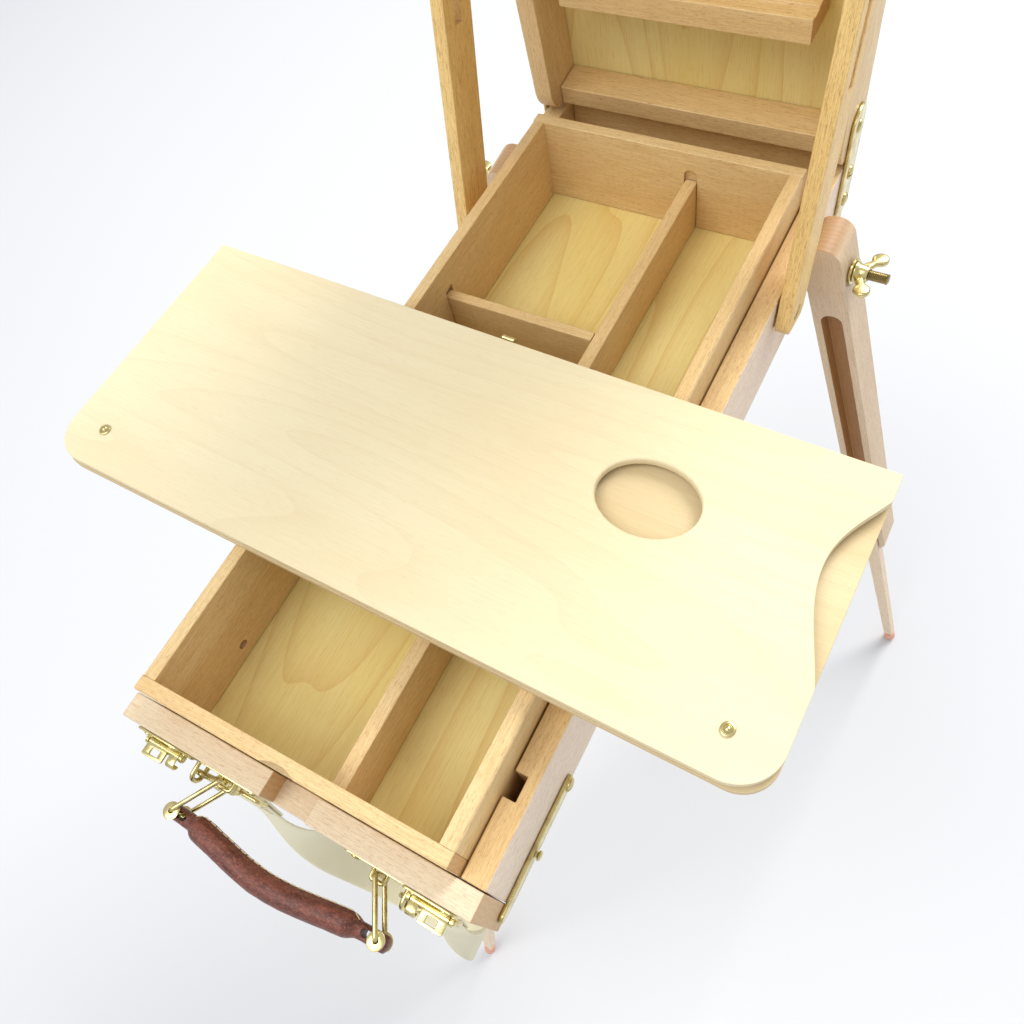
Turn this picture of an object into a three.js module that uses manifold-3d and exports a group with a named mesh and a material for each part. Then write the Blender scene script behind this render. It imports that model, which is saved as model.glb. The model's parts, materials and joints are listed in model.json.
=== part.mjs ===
// Half-box wooden sketch easel: a shallow beech box on three telescopic legs, with a drawer,
// a folding palette, a lid that stands up to hold the canvas, and its brass hardware.
// Millimetres. X is to the painter's right, Y points away from the painter, Z is up.
// Everything is laid out from the middle of the drawer's front wall at the height of the
// drawer's rim; the last lines move the origin to the middle of the base.
import * as THREE from 'three';
import { mergeVertices } from 'three/addons/utils/BufferGeometryUtils.js';
import Module from 'manifold-3d';

const wasm = await Module();
wasm.setup();

// ---------- driving dimensions ----------
const GAP = 0.3; // between pieces that touch
const deg = Math.PI / 180;

const BOX_HALF = 95.1; // half width over the box sides
const BOX_WALL = 11.7;
const BOX_TOP = -21.6;
const BOX_BASE = -82.4;
const BOX_BACK = 450;
const BACK_WALL = 12;
const BOX_FLOOR = { top: -66, thick: 4 };
const GROOVE = 3.5; // depth of the grooves that hold the plywood floors
const GROOVE_FROM = 10; // where the grooves in the box sides start
const MORTISE = { from: 35.3, to: 46.6, into: 6.2, deep: 40 }; // socket in the top of each side

const DRAWER_HALF = 82.5;
const DRAWER_DEPTH = 395.5;
const DRAWER_BASE = -65.4;
const DRAWER_WALL = 7.4;
const FRONT_WALL = 7;
const DRAWER_FLOOR = { top: -53.7, thick: 4 };
const DIVIDER_TOP = -20;
const DIVIDER_X = 18.6; // middle of the long divider
const DIVIDER_THICK = 7.2;
const CROSS_Y = 265; // middle of the cross divider
const CROSS_THICK = 6;
const FRONT_PANEL = { back: -0.6, thick: 12 };
const NOTCH = { left: -12, right: 12.5, low: -36.4, r: 6 }; // for a finger, in the front panel
const SCOOP = { x: -1, y: -16.6, z: 1, r: 19 }; // for a finger, in the drawer's front wall
const BLIND_HOLE = { y: 43, z: -44, r: 2.5, deep: 5 }; // in the drawer's left side
const HOUSING = 2.4; // depth of the housings that hold the dividers

const PALETTE = { long: 382, deep: 149, thick: 4, lower: 0.4, upper: 8, corner: 20 };
const PALETTE_CORNER = [-200, 229]; // back left corner, where the hinge edge starts
const PALETTE_TURN = -1.2 * deg;
const THUMB_HOLE = { u: 290.5, v: 52.8, long: 24, wide: 18.6 }; // half axes of an oval
const STUDS = [[23, 128.8], [359.5, 130.3]];
const KNUCKLE = { out: 2.6, z: 9.5, r: 1.6, half: 3.5, leaf: 12, thick: 0.8 }; // palette hinge

const HINGE = { y: 435, z: 0 }; // the lid's pivot line
const LID_RAISED = 85 * deg; // opened, leaning a little towards the painter
const LID = { rim: -21.1, top: 18.4, back: -15, front: 447, wall: BOX_WALL, panel: 4 };
const LID_ARC = 20.9; // rounding of the lid's sides about the pivot
const TOP_RAIL = { wide: 12, notch: 24 };
const BOTTOM_RAIL = { from: 3, to: 15, low: -10 };
const LEDGE = { half: 70, low: 58, high: 72, stands: 27, lipFrom: 17, lipTo: 24, lipDeep: 1.4 };
const GUIDE = { low: 352, high: 370, wall: 6, front: 4 };
const MAST = { wide: 24, thick: 11, low: 100, high: 505, slotFrom: 390, slotTo: 493 };
const CLAMP = { half: 20, low: 474, high: 492, thick: 15, lip: 4, lipTo: 21, bite: 1.5, bolt: 484 };
const SLOT_WIDE = 6.6; // of the slots in the mast and the struts

const HINGE_PLATE = { from: 425, to: 447, low: -62, thick: 1.8, arc: 12, pin: 3 };
const HINGE_SCREWS = [[436, -32], [436, -52]];

const STRUT = { y: 331, z: -38, wide: 26, thick: 8, length: 352, lean: 12 * deg, x: 96.2 };
const STRUT_END = { low: 7.6, bevel: 3, slotFrom: 120, slotEnd: 10 };
const STRUT_PIN = { r: 2.5, head: 4.6 };

const SPLAY = 13.8 * deg; // the side legs lean outwards
const RAKE = 5 * deg; // and backwards
const LEG = { wide: 22.5, deep: 26, above: 26, knee: 345, slot: 12.8, slotDeep: 9.6, slotTop: 30 };
const LEG_BOLT = [BOX_HALF + 0.9 + LEG.wide / 2, 385, -54];
const SHANK = { wide: 12.2, deep: 9, overlap: 78, foot: 556, tipWide: 8, tipDeep: 7 };
const TIP = { r: 5.3, long: 13 };
const FRONT_LEG = { y: 100, z: -98, lean: 15.5 * deg, above: 12 };
const LEG_BLOCK = { half: 22, cheek: 16, wall: 12, base: -80 }; // carries the front leg
const BOLT = { r: 3, inside: -22.4, outside: 33 };

const CATCH = { inner: 62, outer: 87, low: -41.5, high: -25.5 };
const PLATE = { inner: 25, outer: 74, z: -50, half: 6.6, thick: 1.3 };
const EYE_X = 60;
const LOOP = { x: 44, reach: 14, out: 22, half: 7, back: 2.9 }; // a handle loop, from its hinge bar
const GRIP = { half: 62.5, tall: 9, deep: 5.6, thin: 14.8, tongue: 5.2, arch: 6 };
const GRIP_SLOT = { travel: 6.5, r: 1.7 };
const STRAP = { wide: 24, thick: 1.6, top: -103 };

// ---------- colours ----------
function paint(color, roughness, metalness = 0) {
  return () => new THREE.MeshStandardMaterial({ color, roughness, metalness });
}
const BEECH = paint(0xe3c08c, 0.6);
const PLY = paint(0xe9d49c, 0.6);
const BIRCH = paint(0xf4e6c0, 0.55);
const LEG_BEECH = paint(0xd9bd9f, 0.6);
const BRASS = paint(0xd8b65a, 0.3, 1);
const LEATHER = paint(0x8a4a38, 0.6);
const WEBBING = paint(0xefe6c4, 0.9);
const RUBBER = paint(0xe8896a, 0.8);

// ---------- solids ----------
function solid(geometry) {
  const g = geometry.clone();
  g.deleteAttribute('normal');
  g.deleteAttribute('uv');
  const merged = mergeVertices(g, 1e-4);
  return new wasm.Manifold(new wasm.Mesh({
    numProp: 3,
    vertProperties: new Float32Array(merged.attributes.position.array),
    triVerts: new Uint32Array(merged.index.array),
  }));
}

function shell(manifold) {
  const mesh = manifold.getMesh();
  const g = new THREE.BufferGeometry();
  g.setAttribute('position', new THREE.BufferAttribute(mesh.vertProperties, 3));
  g.setIndex(new THREE.BufferAttribute(mesh.triVerts, 1));
  g.computeVertexNormals();
  return g;
}

function cut(body, ...tools) {
  return shell(tools.reduce((m, t) => m.subtract(solid(t)), solid(body)));
}

function join(first, ...others) {
  return shell(others.reduce((m, g) => m.add(solid(g)), solid(first)));
}

// a block between two corners
function block(x0, x1, y0, y1, z0, z1) {
  const g = new THREE.BoxGeometry(Math.abs(x1 - x0), Math.abs(y1 - y0), Math.abs(z1 - z0));
  return g.translate((x0 + x1) / 2, (y0 + y1) / 2, (z0 + z1) / 2);
}

// a round bar from one point to another
function bar(from, to, r, sides = 16, rEnd = r) {
  const a = new THREE.Vector3(...from);
  const b = new THREE.Vector3(...to);
  const g = new THREE.CylinderGeometry(rEnd, r, a.distanceTo(b), sides);
  const turn = new THREE.Quaternion();
  turn.setFromUnitVectors(new THREE.Vector3(0, 1, 0), b.clone().sub(a).normalize());
  return g.applyQuaternion(turn).translate(...a.add(b).multiplyScalar(0.5).toArray());
}

// bent wire through a list of points
function wire(points, r, closed = false) {
  const pieces = [];
  const count = closed ? points.length : points.length - 1;
  for (let i = 0; i < count; i += 1) {
    pieces.push(bar(points[i], points[(i + 1) % points.length], r, 8));
  }
  const bends = closed ? points : points.slice(1, -1);
  for (const p of bends) pieces.push(new THREE.IcosahedronGeometry(r * 1.1, 0).translate(...p));
  return join(...pieces);
}

// a flat outline raised along Z
function plank(shape, z0, z1, curveSegments = 12) {
  const g = new THREE.ExtrudeGeometry(shape, { depth: z1 - z0, bevelEnabled: false, curveSegments });
  return g.translate(0, 0, z0);
}

// an outline drawn in (Y, Z) and raised along X
function sidePlank(shape, x0, x1, curveSegments = 12) {
  const g = plank(shape, 0, Math.abs(x1 - x0), curveSegments);
  const toYZ = new THREE.Matrix4().set(0, 0, 1, 0, 1, 0, 0, 0, 0, 1, 0, 0, 0, 0, 0, 1);
  return g.applyMatrix4(toYZ).translate(Math.min(x0, x1), 0, 0);
}

function slotShape(width, low, high) {
  const r = width / 2;
  const s = new THREE.Shape();
  s.moveTo(-r, low);
  s.lineTo(r, low);
  s.lineTo(r, high - r);
  s.absarc(0, high - r, r, 0, Math.PI, false);
  s.lineTo(-r, low);
  return s;
}

const easel = new THREE.Group();

function add(parent, name, geometry, material) {
  const mesh = new THREE.Mesh(geometry, material());
  mesh.name = name;
  parent.add(mesh);
  return mesh;
}

const SIDES = [['left', -1], ['right', 1]];

// The side legs turn about bolts that are tilted a little, so that one turn takes a leg from
// its splayed stance to lying flat along the box. This is that axis, for the right leg.
function legAxis() {
  const rest = new THREE.Matrix4().makeRotationFromEuler(new THREE.Euler(RAKE, -SPLAY, 0));
  const folded = new THREE.Matrix4().makeRotationX(-Math.PI / 2);
  const turn = folded.multiply(rest.invert()).elements;
  const axis = new THREE.Vector3(turn[6] - turn[9], turn[8] - turn[2], turn[1] - turn[4]);
  axis.normalize();
  return axis.x < 0 ? axis.negate() : axis;
}
const BOLT_AXIS = legAxis();

function alongBolt(side, distance) {
  const p = new THREE.Vector3(...LEG_BOLT).addScaledVector(BOLT_AXIS, distance);
  return [side * p.x, p.y, p.z];
}

// ---------- the box ----------
function boxSide(side) {
  const inner = BOX_HALF - BOX_WALL;
  const board = block(side * inner, side * BOX_HALF, 0, BOX_BACK, BOX_BASE, BOX_TOP);
  const floorTop = BOX_FLOOR.top + GAP;
  const floorBase = BOX_FLOOR.top - BOX_FLOOR.thick - GAP;
  const groove = block(side * (inner - 1), side * (inner + GROOVE + GAP), GROOVE_FROM,
    BOX_BACK - BACK_WALL, floorBase, floorTop);
  const mortise = block(side * (inner - 1), side * (inner + MORTISE.into), MORTISE.from, MORTISE.to,
    BOX_TOP - MORTISE.deep, BOX_TOP + 1);
  const boltHole = bar(alongBolt(side, -30), alongBolt(side, 0), BOLT.r + GAP);
  const pinHole = bar([side * (inner - 1), STRUT.y, STRUT.z],
    [side * (BOX_HALF + 1), STRUT.y, STRUT.z], STRUT_PIN.r + GAP);
  return cut(board, groove, mortise, boltHole, pinHole);
}

function hingePlate(side) {
  const s = new THREE.Shape();
  const { from, to, low, thick, arc, pin } = HINGE_PLATE;
  s.moveTo(from, low);
  s.lineTo(to, low);
  s.lineTo(to, 2);
  s.absarc(HINGE.y, HINGE.z, arc, 0.17, Math.PI - 0.55, false);
  s.lineTo(from, -10);
  s.lineTo(from, low);
  const x = BOX_HALF + GAP;
  const pieces = [sidePlank(s, side * x, side * (x + thick), 10)];
  for (const [y, z] of HINGE_SCREWS) {
    const head = new THREE.SphereGeometry(4, 12, 8).scale(0.4, 1, 1);
    pieces.push(head.translate(side * (x + thick - 0.1), y, z));
  }
  const tip = x + thick + 1.4;
  pieces.push(bar([side * (BOX_HALF - 8), HINGE.y, HINGE.z], [side * tip, HINGE.y, HINGE.z], pin));
  return join(...pieces);
}

// the countersunk screw that a strut turns on
function strutPin(side) {
  const head = STRUT.x + STRUT.thick - 0.1;
  const spot = (x) => [side * x, STRUT.y, STRUT.z];
  return join(
    bar(spot(BOX_HALF - BOX_WALL + 1), spot(head - GAP), STRUT_PIN.r),
    bar(spot(head - 1.5), spot(head), STRUT_PIN.head, 20),
  );
}

function makeBox() {
  for (const [word, side] of SIDES) {
    add(easel, `box_side_${word}`, boxSide(side), BEECH);
    add(easel, `hinge_plate_${word}`, hingePlate(side), BRASS);
    const bolt = bar(alongBolt(side, BOLT.inside), alongBolt(side, BOLT.outside), BOLT.r, 18);
    add(easel, `leg_bolt_${word}`, bolt, BRASS);
    add(easel, `strut_pin_${word}`, strutPin(side), BRASS);
  }
  const inside = BOX_HALF - BOX_WALL - GAP;
  const back = block(-inside, inside, BOX_BACK - BACK_WALL + GAP, BOX_BACK, BOX_BASE + 6, BOX_TOP);
  add(easel, 'box_back', back, BEECH);
  const half = inside + GROOVE;
  const floor = block(-half, half, GROOVE_FROM + GAP, BOX_BACK - BACK_WALL - GAP,
    BOX_FLOOR.top - BOX_FLOOR.thick, BOX_FLOOR.top);
  add(easel, 'box_bottom', floor, PLY);
}

// ---------- the drawer ----------
function dividerSlot(x, yFrom, yTo) {
  const outline = slotShape(DIVIDER_THICK + 2 * GAP, DRAWER_FLOOR.top - 0.1, DIVIDER_TOP + 8);
  const g = plank(outline, 0, yTo - yFrom);
  return g.rotateX(Math.PI / 2).translate(x, yTo, 0);
}

function makeDrawer() {
  const halfIn = DRAWER_HALF - DRAWER_WALL;
  const backIn = DRAWER_DEPTH - DRAWER_WALL;
  const floorBase = DRAWER_FLOOR.top - DRAWER_FLOOR.thick;
  const grooveSpan = [floorBase - GAP, DRAWER_FLOOR.top + GAP];
  const crossSpan = [CROSS_Y - CROSS_THICK / 2, CROSS_Y + CROSS_THICK / 2];

  for (const [word, side] of SIDES) {
    const board = block(side * halfIn, side * DRAWER_HALF, FRONT_WALL + GAP, backIn - GAP, DRAWER_BASE, 0);
    const cuts = [block(side * (halfIn - 1), side * (halfIn + GROOVE), 0, DRAWER_DEPTH, ...grooveSpan)];
    if (side < 0) {
      cuts.push(block(-halfIn - HOUSING, -halfIn + 1, crossSpan[0] - GAP, crossSpan[1] + GAP,
        DRAWER_FLOOR.top - 0.1, DIVIDER_TOP + 4));
      const { y, z, r, deep } = BLIND_HOLE;
      cuts.push(bar([-halfIn - deep, y, z], [-halfIn + 1, y, z], r));
    }
    add(easel, `drawer_side_${word}`, cut(board, ...cuts), BEECH);
  }

  const front = block(-DRAWER_HALF, DRAWER_HALF, 0, FRONT_WALL, DRAWER_BASE, 0);
  const scoop = new THREE.SphereGeometry(SCOOP.r, 40, 28).translate(SCOOP.x, SCOOP.y, SCOOP.z);
  const floorHalf = halfIn + GROOVE - GAP;
  const across = [-floorHalf - GAP, floorHalf + GAP];
  const frontGroove = block(...across, FRONT_WALL - GROOVE, FRONT_WALL + 1, ...grooveSpan);
  add(easel, 'drawer_front_wall',
    cut(front, scoop, frontGroove, dividerSlot(DIVIDER_X, FRONT_WALL - HOUSING, FRONT_WALL + 1)), BEECH);

  const back = block(-DRAWER_HALF, DRAWER_HALF, backIn, DRAWER_DEPTH, DRAWER_BASE, 0);
  const backGroove = block(...across, backIn - 1, backIn + GROOVE, ...grooveSpan);
  add(easel, 'drawer_back_wall',
    cut(back, backGroove, dividerSlot(DIVIDER_X, backIn - 1, backIn + HOUSING)), BEECH);

  add(easel, 'drawer_floor', block(-floorHalf, floorHalf, FRONT_WALL - GROOVE + GAP,
    backIn + GROOVE - GAP, floorBase, DRAWER_FLOOR.top), PLY);

  const left = DIVIDER_X - DIVIDER_THICK / 2;
  const right = DIVIDER_X + DIVIDER_THICK / 2;
  const low = DRAWER_FLOOR.top + GAP;
  add(easel, 'divider_long', block(left, right, FRONT_WALL - 2, backIn + 2, low, DIVIDER_TOP), BEECH);
  add(easel, 'divider_cross', block(-halfIn - 2, left - GAP, ...crossSpan, low, DIVIDER_TOP), BEECH);
}

function makeFrontPanel() {
  const outer = FRONT_PANEL.back - FRONT_PANEL.thick;
  const board = block(-BOX_HALF, BOX_HALF, outer, FRONT_PANEL.back, BOX_BASE, BOX_TOP);
  const { left, right, low, r } = NOTCH;
  const s = new THREE.Shape();
  s.moveTo(left, BOX_TOP + 1);
  s.lineTo(left, low);
  s.lineTo(right - r, low);
  s.absarc(right - r, low + r, r, -Math.PI / 2, 0, false);
  s.lineTo(right, BOX_TOP + 1);
  s.lineTo(left, BOX_TOP + 1);
  const notch = plank(s, 0, FRONT_PANEL.thick + 2).rotateX(Math.PI / 2);
  add(easel, 'front_panel', cut(board, notch.translate(0, FRONT_PANEL.back + 1, 0)), BEECH);
}

// ---------- hardware on the front panel ----------
const FACE = FRONT_PANEL.back - FRONT_PANEL.thick - GAP; // just clear of the panel's outer face

// each catch is a small plate with a barrel across it, and a lever that stands out from the panel
const CATCH_PIN = { y: FACE - 3.3, z: -37 };

function catchBase(side) {
  const { inner, outer } = CATCH;
  const plate = block(side * inner, side * outer, FACE - 1.2, FACE, CATCH.low, CATCH.high);
  const lugs = [[inner + 1, inner + 2.8], [outer - 2.8, outer - 1]].map(([a, b]) => block(
    side * a, side * b, FACE - 5.2, FACE - 1, CATCH_PIN.z - 2, CATCH_PIN.z + 2,
  ));
  const pin = bar([side * (inner + 2), CATCH_PIN.y, CATCH_PIN.z],
    [side * (outer - 2), CATCH_PIN.y, CATCH_PIN.z], 0.9, 10);
  const screw = new THREE.SphereGeometry(2.2, 10, 6).scale(1, 0.45, 1);
  const screws = [inner + 5, outer - 5].map((x) => screw.clone().translate(side * x, FACE - 1.2, -29.4));
  return join(plate, ...lugs, pin, ...screws);
}

function catchLever(side) {
  const { y, z } = CATCH_PIN;
  const from = CATCH.inner + 3.1;
  const to = CATCH.outer - 3.1;
  const barrel = bar([side * from, y, z], [side * to, y, z], 1.8, 14);
  const tongue = block(side * 71.6, side * to, y - 7, y - 0.4, z + 0.4, z + 1.8);
  const hook = block(side * from, side * 69.8, y - 5, y - 0.4, z + 0.4, z + 1.8);
  const curl = block(side * from, side * 69.8, y - 6.2, y - 4.8, z - 3, z + 1.8);
  const hole = bar([side * (from - 1), y, z], [side * (to + 1), y, z], 1.2, 12);
  const square = block(side * 75, side * 80, y - 5.6, y - 2.2, z - 2, z + 3);
  return cut(join(barrel, tongue, hook, curl), hole, square);
}

function handlePlate(side) {
  const plate = block(side * PLATE.inner, side * PLATE.outer, FACE - PLATE.thick, FACE,
    PLATE.z - PLATE.half, PLATE.z + PLATE.half);
  const staple = wire([
    [side * LOOP.x - 3.6, FACE - 0.5, PLATE.z],
    [side * LOOP.x - 3.6, FACE - 5.8, PLATE.z],
    [side * LOOP.x + 3.6, FACE - 5.8, PLATE.z],
    [side * LOOP.x + 3.6, FACE - 0.5, PLATE.z],
  ], 1.1);
  const eye = wire([
    [side * EYE_X, FACE - 0.5, PLATE.z + 5],
    [side * EYE_X, FACE - 9.4, PLATE.z + 4],
    [side * EYE_X, FACE - 9.4, PLATE.z - 4],
    [side * EYE_X, FACE - 0.5, PLATE.z - 5],
  ], 1.2);
  const screws = [PLATE.inner + 5, PLATE.outer - 5].map((x) => new THREE.SphereGeometry(2.6, 10, 6)
    .scale(1, 0.5, 1).translate(side * x, FACE - PLATE.thick, PLATE.z));
  return join(plate, staple, eye, ...screws);
}

const LOOP_Y = FACE - LOOP.back;

// a loop swings about its upright inner bar, and its outer bar carries the grip
function handleLoop() {
  return wire([
    [0, 0, -LOOP.half],
    [0, 0, LOOP.half],
    [LOOP.reach, -LOOP.out, LOOP.half],
    [LOOP.reach, -LOOP.out, -LOOP.half],
  ], 1.2, true);
}

// The grip is an arched leather bar. Its thinner ends have a slot each, in which the outer bars
// of the loops slide inwards when the handle is pulled away from the panel.
function handleGrip() {
  const { half, arch } = GRIP;
  const path = new THREE.CatmullRomCurve3([
    [-half, 0], [-half + 12, 0], [-half + 30, -arch * 0.55], [0, -arch],
    [half - 30, -arch * 0.55], [half - 12, 0], [half, 0],
  ].map((p) => new THREE.Vector3(p[0], p[1], 0)));
  const section = new THREE.Shape();
  section.absellipse(0, 0, GRIP.tall, GRIP.deep, 0, 2 * Math.PI, false, 0);
  const grip = new THREE.ExtrudeGeometry(section, {
    steps: 22, extrudePath: path, bevelEnabled: false, curveSegments: 8,
  });
  const outer = LOOP.x + LOOP.reach;
  const inner = outer - GRIP_SLOT.travel;
  const thin = half - GRIP.thin;
  const { r } = GRIP_SLOT;
  const cuts = [];
  for (const [, s] of SIDES) {
    const ends = [inner, outer].map((x) => bar([s * x, 0, -12], [s * x, 0, 12], r, 12));
    cuts.push(...ends, block(s * inner, s * outer, -r, r, -12, 12));
    cuts.push(block(s * thin, s * (half + 2), -9, 9, GRIP.tongue, 12));
    cuts.push(block(s * thin, s * (half + 2), -9, 9, -12, -GRIP.tongue));
  }
  return cut(grip, ...cuts);
}

const HOOK_Y = FACE - 5.4;

// a snap hook hangs from the plate's eye, with a swivel and a flat loop for the strap
function snapHook(side) {
  const x = side * EYE_X;
  const y = HOOK_Y;
  const top = PLATE.z + 0.4;
  const outline = [[-4.4, -9], [-4, -2.6], [-1.6, 0], [1.6, 0], [4, -2.6], [4.4, -9], [3, -23]];
  const hook = wire(outline.map(([dx, dz]) => [x + dx * side, y, top + dz]), 1.25);
  const gate = bar([x - 4.4 * side, y, top - 8.6], [x - 1.4 * side, y, top - 23], 1.2, 8);
  const body = bar([x, y, top - 33], [x, y, top - 21.6], 3.2, 14, 4.2);
  const neck = bar([x, y, top - 43], [x, y, top - 32], 1.8, 10);
  const ball = new THREE.SphereGeometry(3.5, 12, 8).translate(x, y, top - 38);
  const half = STRAP.wide / 2 + 2;
  const loop = wire([
    [x - half, y, top - 42], [x + half, y, top - 42],
    [x + half, y, STRAP.top + 0.4], [x - half, y, STRAP.top + 0.4],
  ], 1.2, true);
  return join(hook, gate, body, neck, ball, loop);
}

// The left half of the strap's route, from its hook to just before the lowest point: how far out
// it lies, how far it stands forward of the hooks, and its height.
const STRAP_ROUTE = [
  [60, 0.2, -105.4],
  [60, 2.5, -128],
  [59.5, 6, -165],
  [58, 9, -205],
  [55.5, 11.2, -246],
  [51, 12, -282],
  [43, 12, -308],
  [25, 11.5, -325],
];
const STRAP_BOTTOM = [0, 11, -332];
const STRAP_TWIST = [0.12, 0.62]; // where each half turns, as shares of its length

// The strap hangs as a long loop between the two hooks. It twists a quarter turn on its way
// down, so that it bends across its flat at the bottom.
function strapGeometry() {
  const point = (side) => ([x, out, z]) => new THREE.Vector3(side * x, HOOK_Y - out, z);
  const path = new THREE.CatmullRomCurve3([
    ...STRAP_ROUTE.map(point(-1)),
    point(1)(STRAP_BOTTOM),
    ...STRAP_ROUTE.map(point(1)).reverse(),
  ]);
  const steps = 56;
  const g = new THREE.BoxGeometry(STRAP.wide, STRAP.thick, 1, 1, 1, steps);
  const p = g.attributes.position;
  const ahead = new THREE.Vector3(0, 1, 0);
  for (let i = 0; i < p.count; i += 1) {
    const t = p.getZ(i) + 0.5;
    const at = path.getPointAt(t);
    const along = path.getTangentAt(t);
    const fromEnd = 1 - Math.abs(2 * t - 1);
    const turned = THREE.MathUtils.smoothstep(fromEnd, ...STRAP_TWIST) * (Math.PI / 2);
    const width = new THREE.Vector3();
    if (turned < Math.PI / 2) {
      const sideways = ahead.clone().cross(along).normalize();
      width.addScaledVector(sideways, Math.cos(turned) * Math.sign(along.z));
    }
    width.addScaledVector(ahead, Math.sin(turned));
    width.addScaledVector(along, -width.dot(along)).normalize();
    const flat = new THREE.Vector3().crossVectors(along, width).normalize();
    at.addScaledVector(width, p.getX(i)).addScaledVector(flat, p.getY(i));
    p.setXYZ(i, at.x, at.y, at.z);
  }
  return g;
}

function makeFrontHardware() {
  for (const [word, side] of SIDES) {
    add(easel, `catch_base_${word}`, catchBase(side), BRASS);
    add(easel, `catch_lever_${word}`, catchLever(side), BRASS);
    add(easel, `handle_plate_${word}`, handlePlate(side), BRASS);
    add(easel, `snap_hook_${word}`, snapHook(side), BRASS);
    const loop = add(easel, `handle_loop_${word}`, handleLoop(), BRASS);
    loop.position.set(side * LOOP.x, LOOP_Y, PLATE.z);
    if (side < 0) loop.rotation.z = Math.PI + 2 * Math.atan2(LOOP.out, LOOP.reach);
  }
  const grip = add(easel, 'handle_grip', handleGrip(), LEATHER);
  grip.position.set(0, LOOP_Y - LOOP.out, PLATE.z);
  add(easel, 'strap', strapGeometry(), WEBBING);
}

// a brass hook on the box's right side that keeps the drawer shut
function drawerHook() {
  const s = new THREE.Shape();
  s.moveTo(58, 4.4);
  s.absarc(58, 0, 4.4, Math.PI / 2, -Math.PI / 2, true);
  s.lineTo(4, -4.4);
  s.lineTo(-5, -3);
  s.absarc(-5, 0.7, 3.7, -Math.PI / 2, Math.PI / 2, true);
  s.lineTo(58, 4.4);
  const arm = sidePlank(s, BOX_HALF + GAP, BOX_HALF + GAP + 2);
  const head = new THREE.SphereGeometry(3.4, 14, 10).scale(0.5, 1, 1).translate(BOX_HALF + 2.3, 58, 0);
  const knob = new THREE.SphereGeometry(2.6, 12, 8).translate(BOX_HALF + 2.6, 24, 0);
  return join(arm, head, knob).translate(0, 0, -71);
}

// ---------- the palette ----------
// Palette outlines are drawn with u along the hinge edge and v towards the painter.
function cornered(shape, long, deep, r) {
  shape.lineTo(long, -(deep - r));
  shape.absarc(long - r, -(deep - r), r, 0, -Math.PI / 2, true);
  shape.lineTo(r, -deep);
  shape.absarc(r, -(deep - r), r, -Math.PI / 2, -Math.PI, true);
  shape.lineTo(0, 0);
}

function lowerLeaf() {
  const s = new THREE.Shape();
  s.moveTo(0, 0);
  s.lineTo(PALETTE.long, 0);
  cornered(s, PALETTE.long, PALETTE.deep, PALETTE.corner - 4);
  return plank(s, PALETTE.lower, PALETTE.lower + PALETTE.thick);
}

function upperLeaf() {
  const s = new THREE.Shape();
  s.moveTo(0, 0);
  s.lineTo(PALETTE.long, 0);
  s.lineTo(PALETTE.long, -14);
  s.bezierCurveTo(375, -27, 367.2, -37, 367.2, -52);
  s.bezierCurveTo(367.2, -70, 376, -84, PALETTE.long, -102);
  cornered(s, PALETTE.long, PALETTE.deep, PALETTE.corner);
  const thumb = new THREE.Path();
  const { u: thumbU, v: thumbV, long, wide } = THUMB_HOLE;
  thumb.absellipse(thumbU, -thumbV, long, wide, 0, 2 * Math.PI, false, 0);
  s.holes.push(thumb);
  for (const [u, v] of STUDS) {
    const hole = new THREE.Path();
    hole.absarc(u, -v, 1.6, 0, 2 * Math.PI, false);
    s.holes.push(hole);
  }
  return plank(s, PALETTE.upper, PALETTE.upper + PALETTE.thick, 16);
}

function stud() {
  const top = PALETTE.upper + PALETTE.thick + GAP;
  const profile = [[0, top - 3.6], [1.2, top - 3.6], [1.2, top], [3, top], [2.8, top + 0.8],
    [1.8, top + 1.5], [0, top + 1.8]].map((p) => new THREE.Vector2(...p));
  return new THREE.LatheGeometry(profile, 18).rotateX(Math.PI / 2);
}

// a knuckle behind the palette's back edge, on a leaf that lies between the two plates
function paletteHinge() {
  const { out, z, r, half, leaf, thick } = KNUCKLE;
  const u = PALETTE.long / 2 - 2;
  const base = PALETTE.lower + PALETTE.thick + GAP;
  return join(
    bar([u - half, out, z], [u + half, out, z], r, 14),
    block(u - half, u + half, -leaf, out - thick, base, base + thick),
    block(u - half, u + half, out - 2 * thick, out - thick, base, z),
  );
}

function makePalette() {
  const palette = new THREE.Group();
  palette.position.set(PALETTE_CORNER[0], PALETTE_CORNER[1], 0);
  palette.rotation.z = PALETTE_TURN;
  easel.add(palette);
  add(palette, 'palette_lower_leaf', lowerLeaf(), BIRCH);
  add(palette, 'palette_upper_leaf', upperLeaf(), BIRCH);
  add(palette, 'palette_hinge', paletteHinge(), BRASS);
  STUDS.forEach(([u, v], i) => {
    add(palette, `palette_stud_${SIDES[i][0]}`, stud().translate(u, -v, 0), BRASS);
  });
}

// ---------- the lid, drawn shut: Y runs from the pivot towards the painter as negative ----------
function lidSide(side) {
  const s = new THREE.Shape();
  s.moveTo(-LID.front, LID.rim);
  s.lineTo(0, LID.rim + 0.2);
  s.absarc(0, 0, LID_ARC, -Math.PI / 2, -0.77, false);
  s.lineTo(-LID.back, LID.top);
  s.lineTo(-LID.front, LID.top);
  s.lineTo(-LID.front, LID.rim);
  const board = sidePlank(s, side * (BOX_HALF - LID.wall), side * BOX_HALF);
  const hole = bar([side * (BOX_HALF - 9), 0, 0], [side * (BOX_HALF + 1), 0, 0], 3.3);
  const inner = BOX_HALF - LID.wall;
  const groove = block(side * (inner - 1), side * (inner + GROOVE + GAP), -LID.front, -LID.back + 1,
    LID.top - 2 * LID.panel - GAP, LID.top - LID.panel + GAP);
  return cut(board, hole, groove);
}

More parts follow.
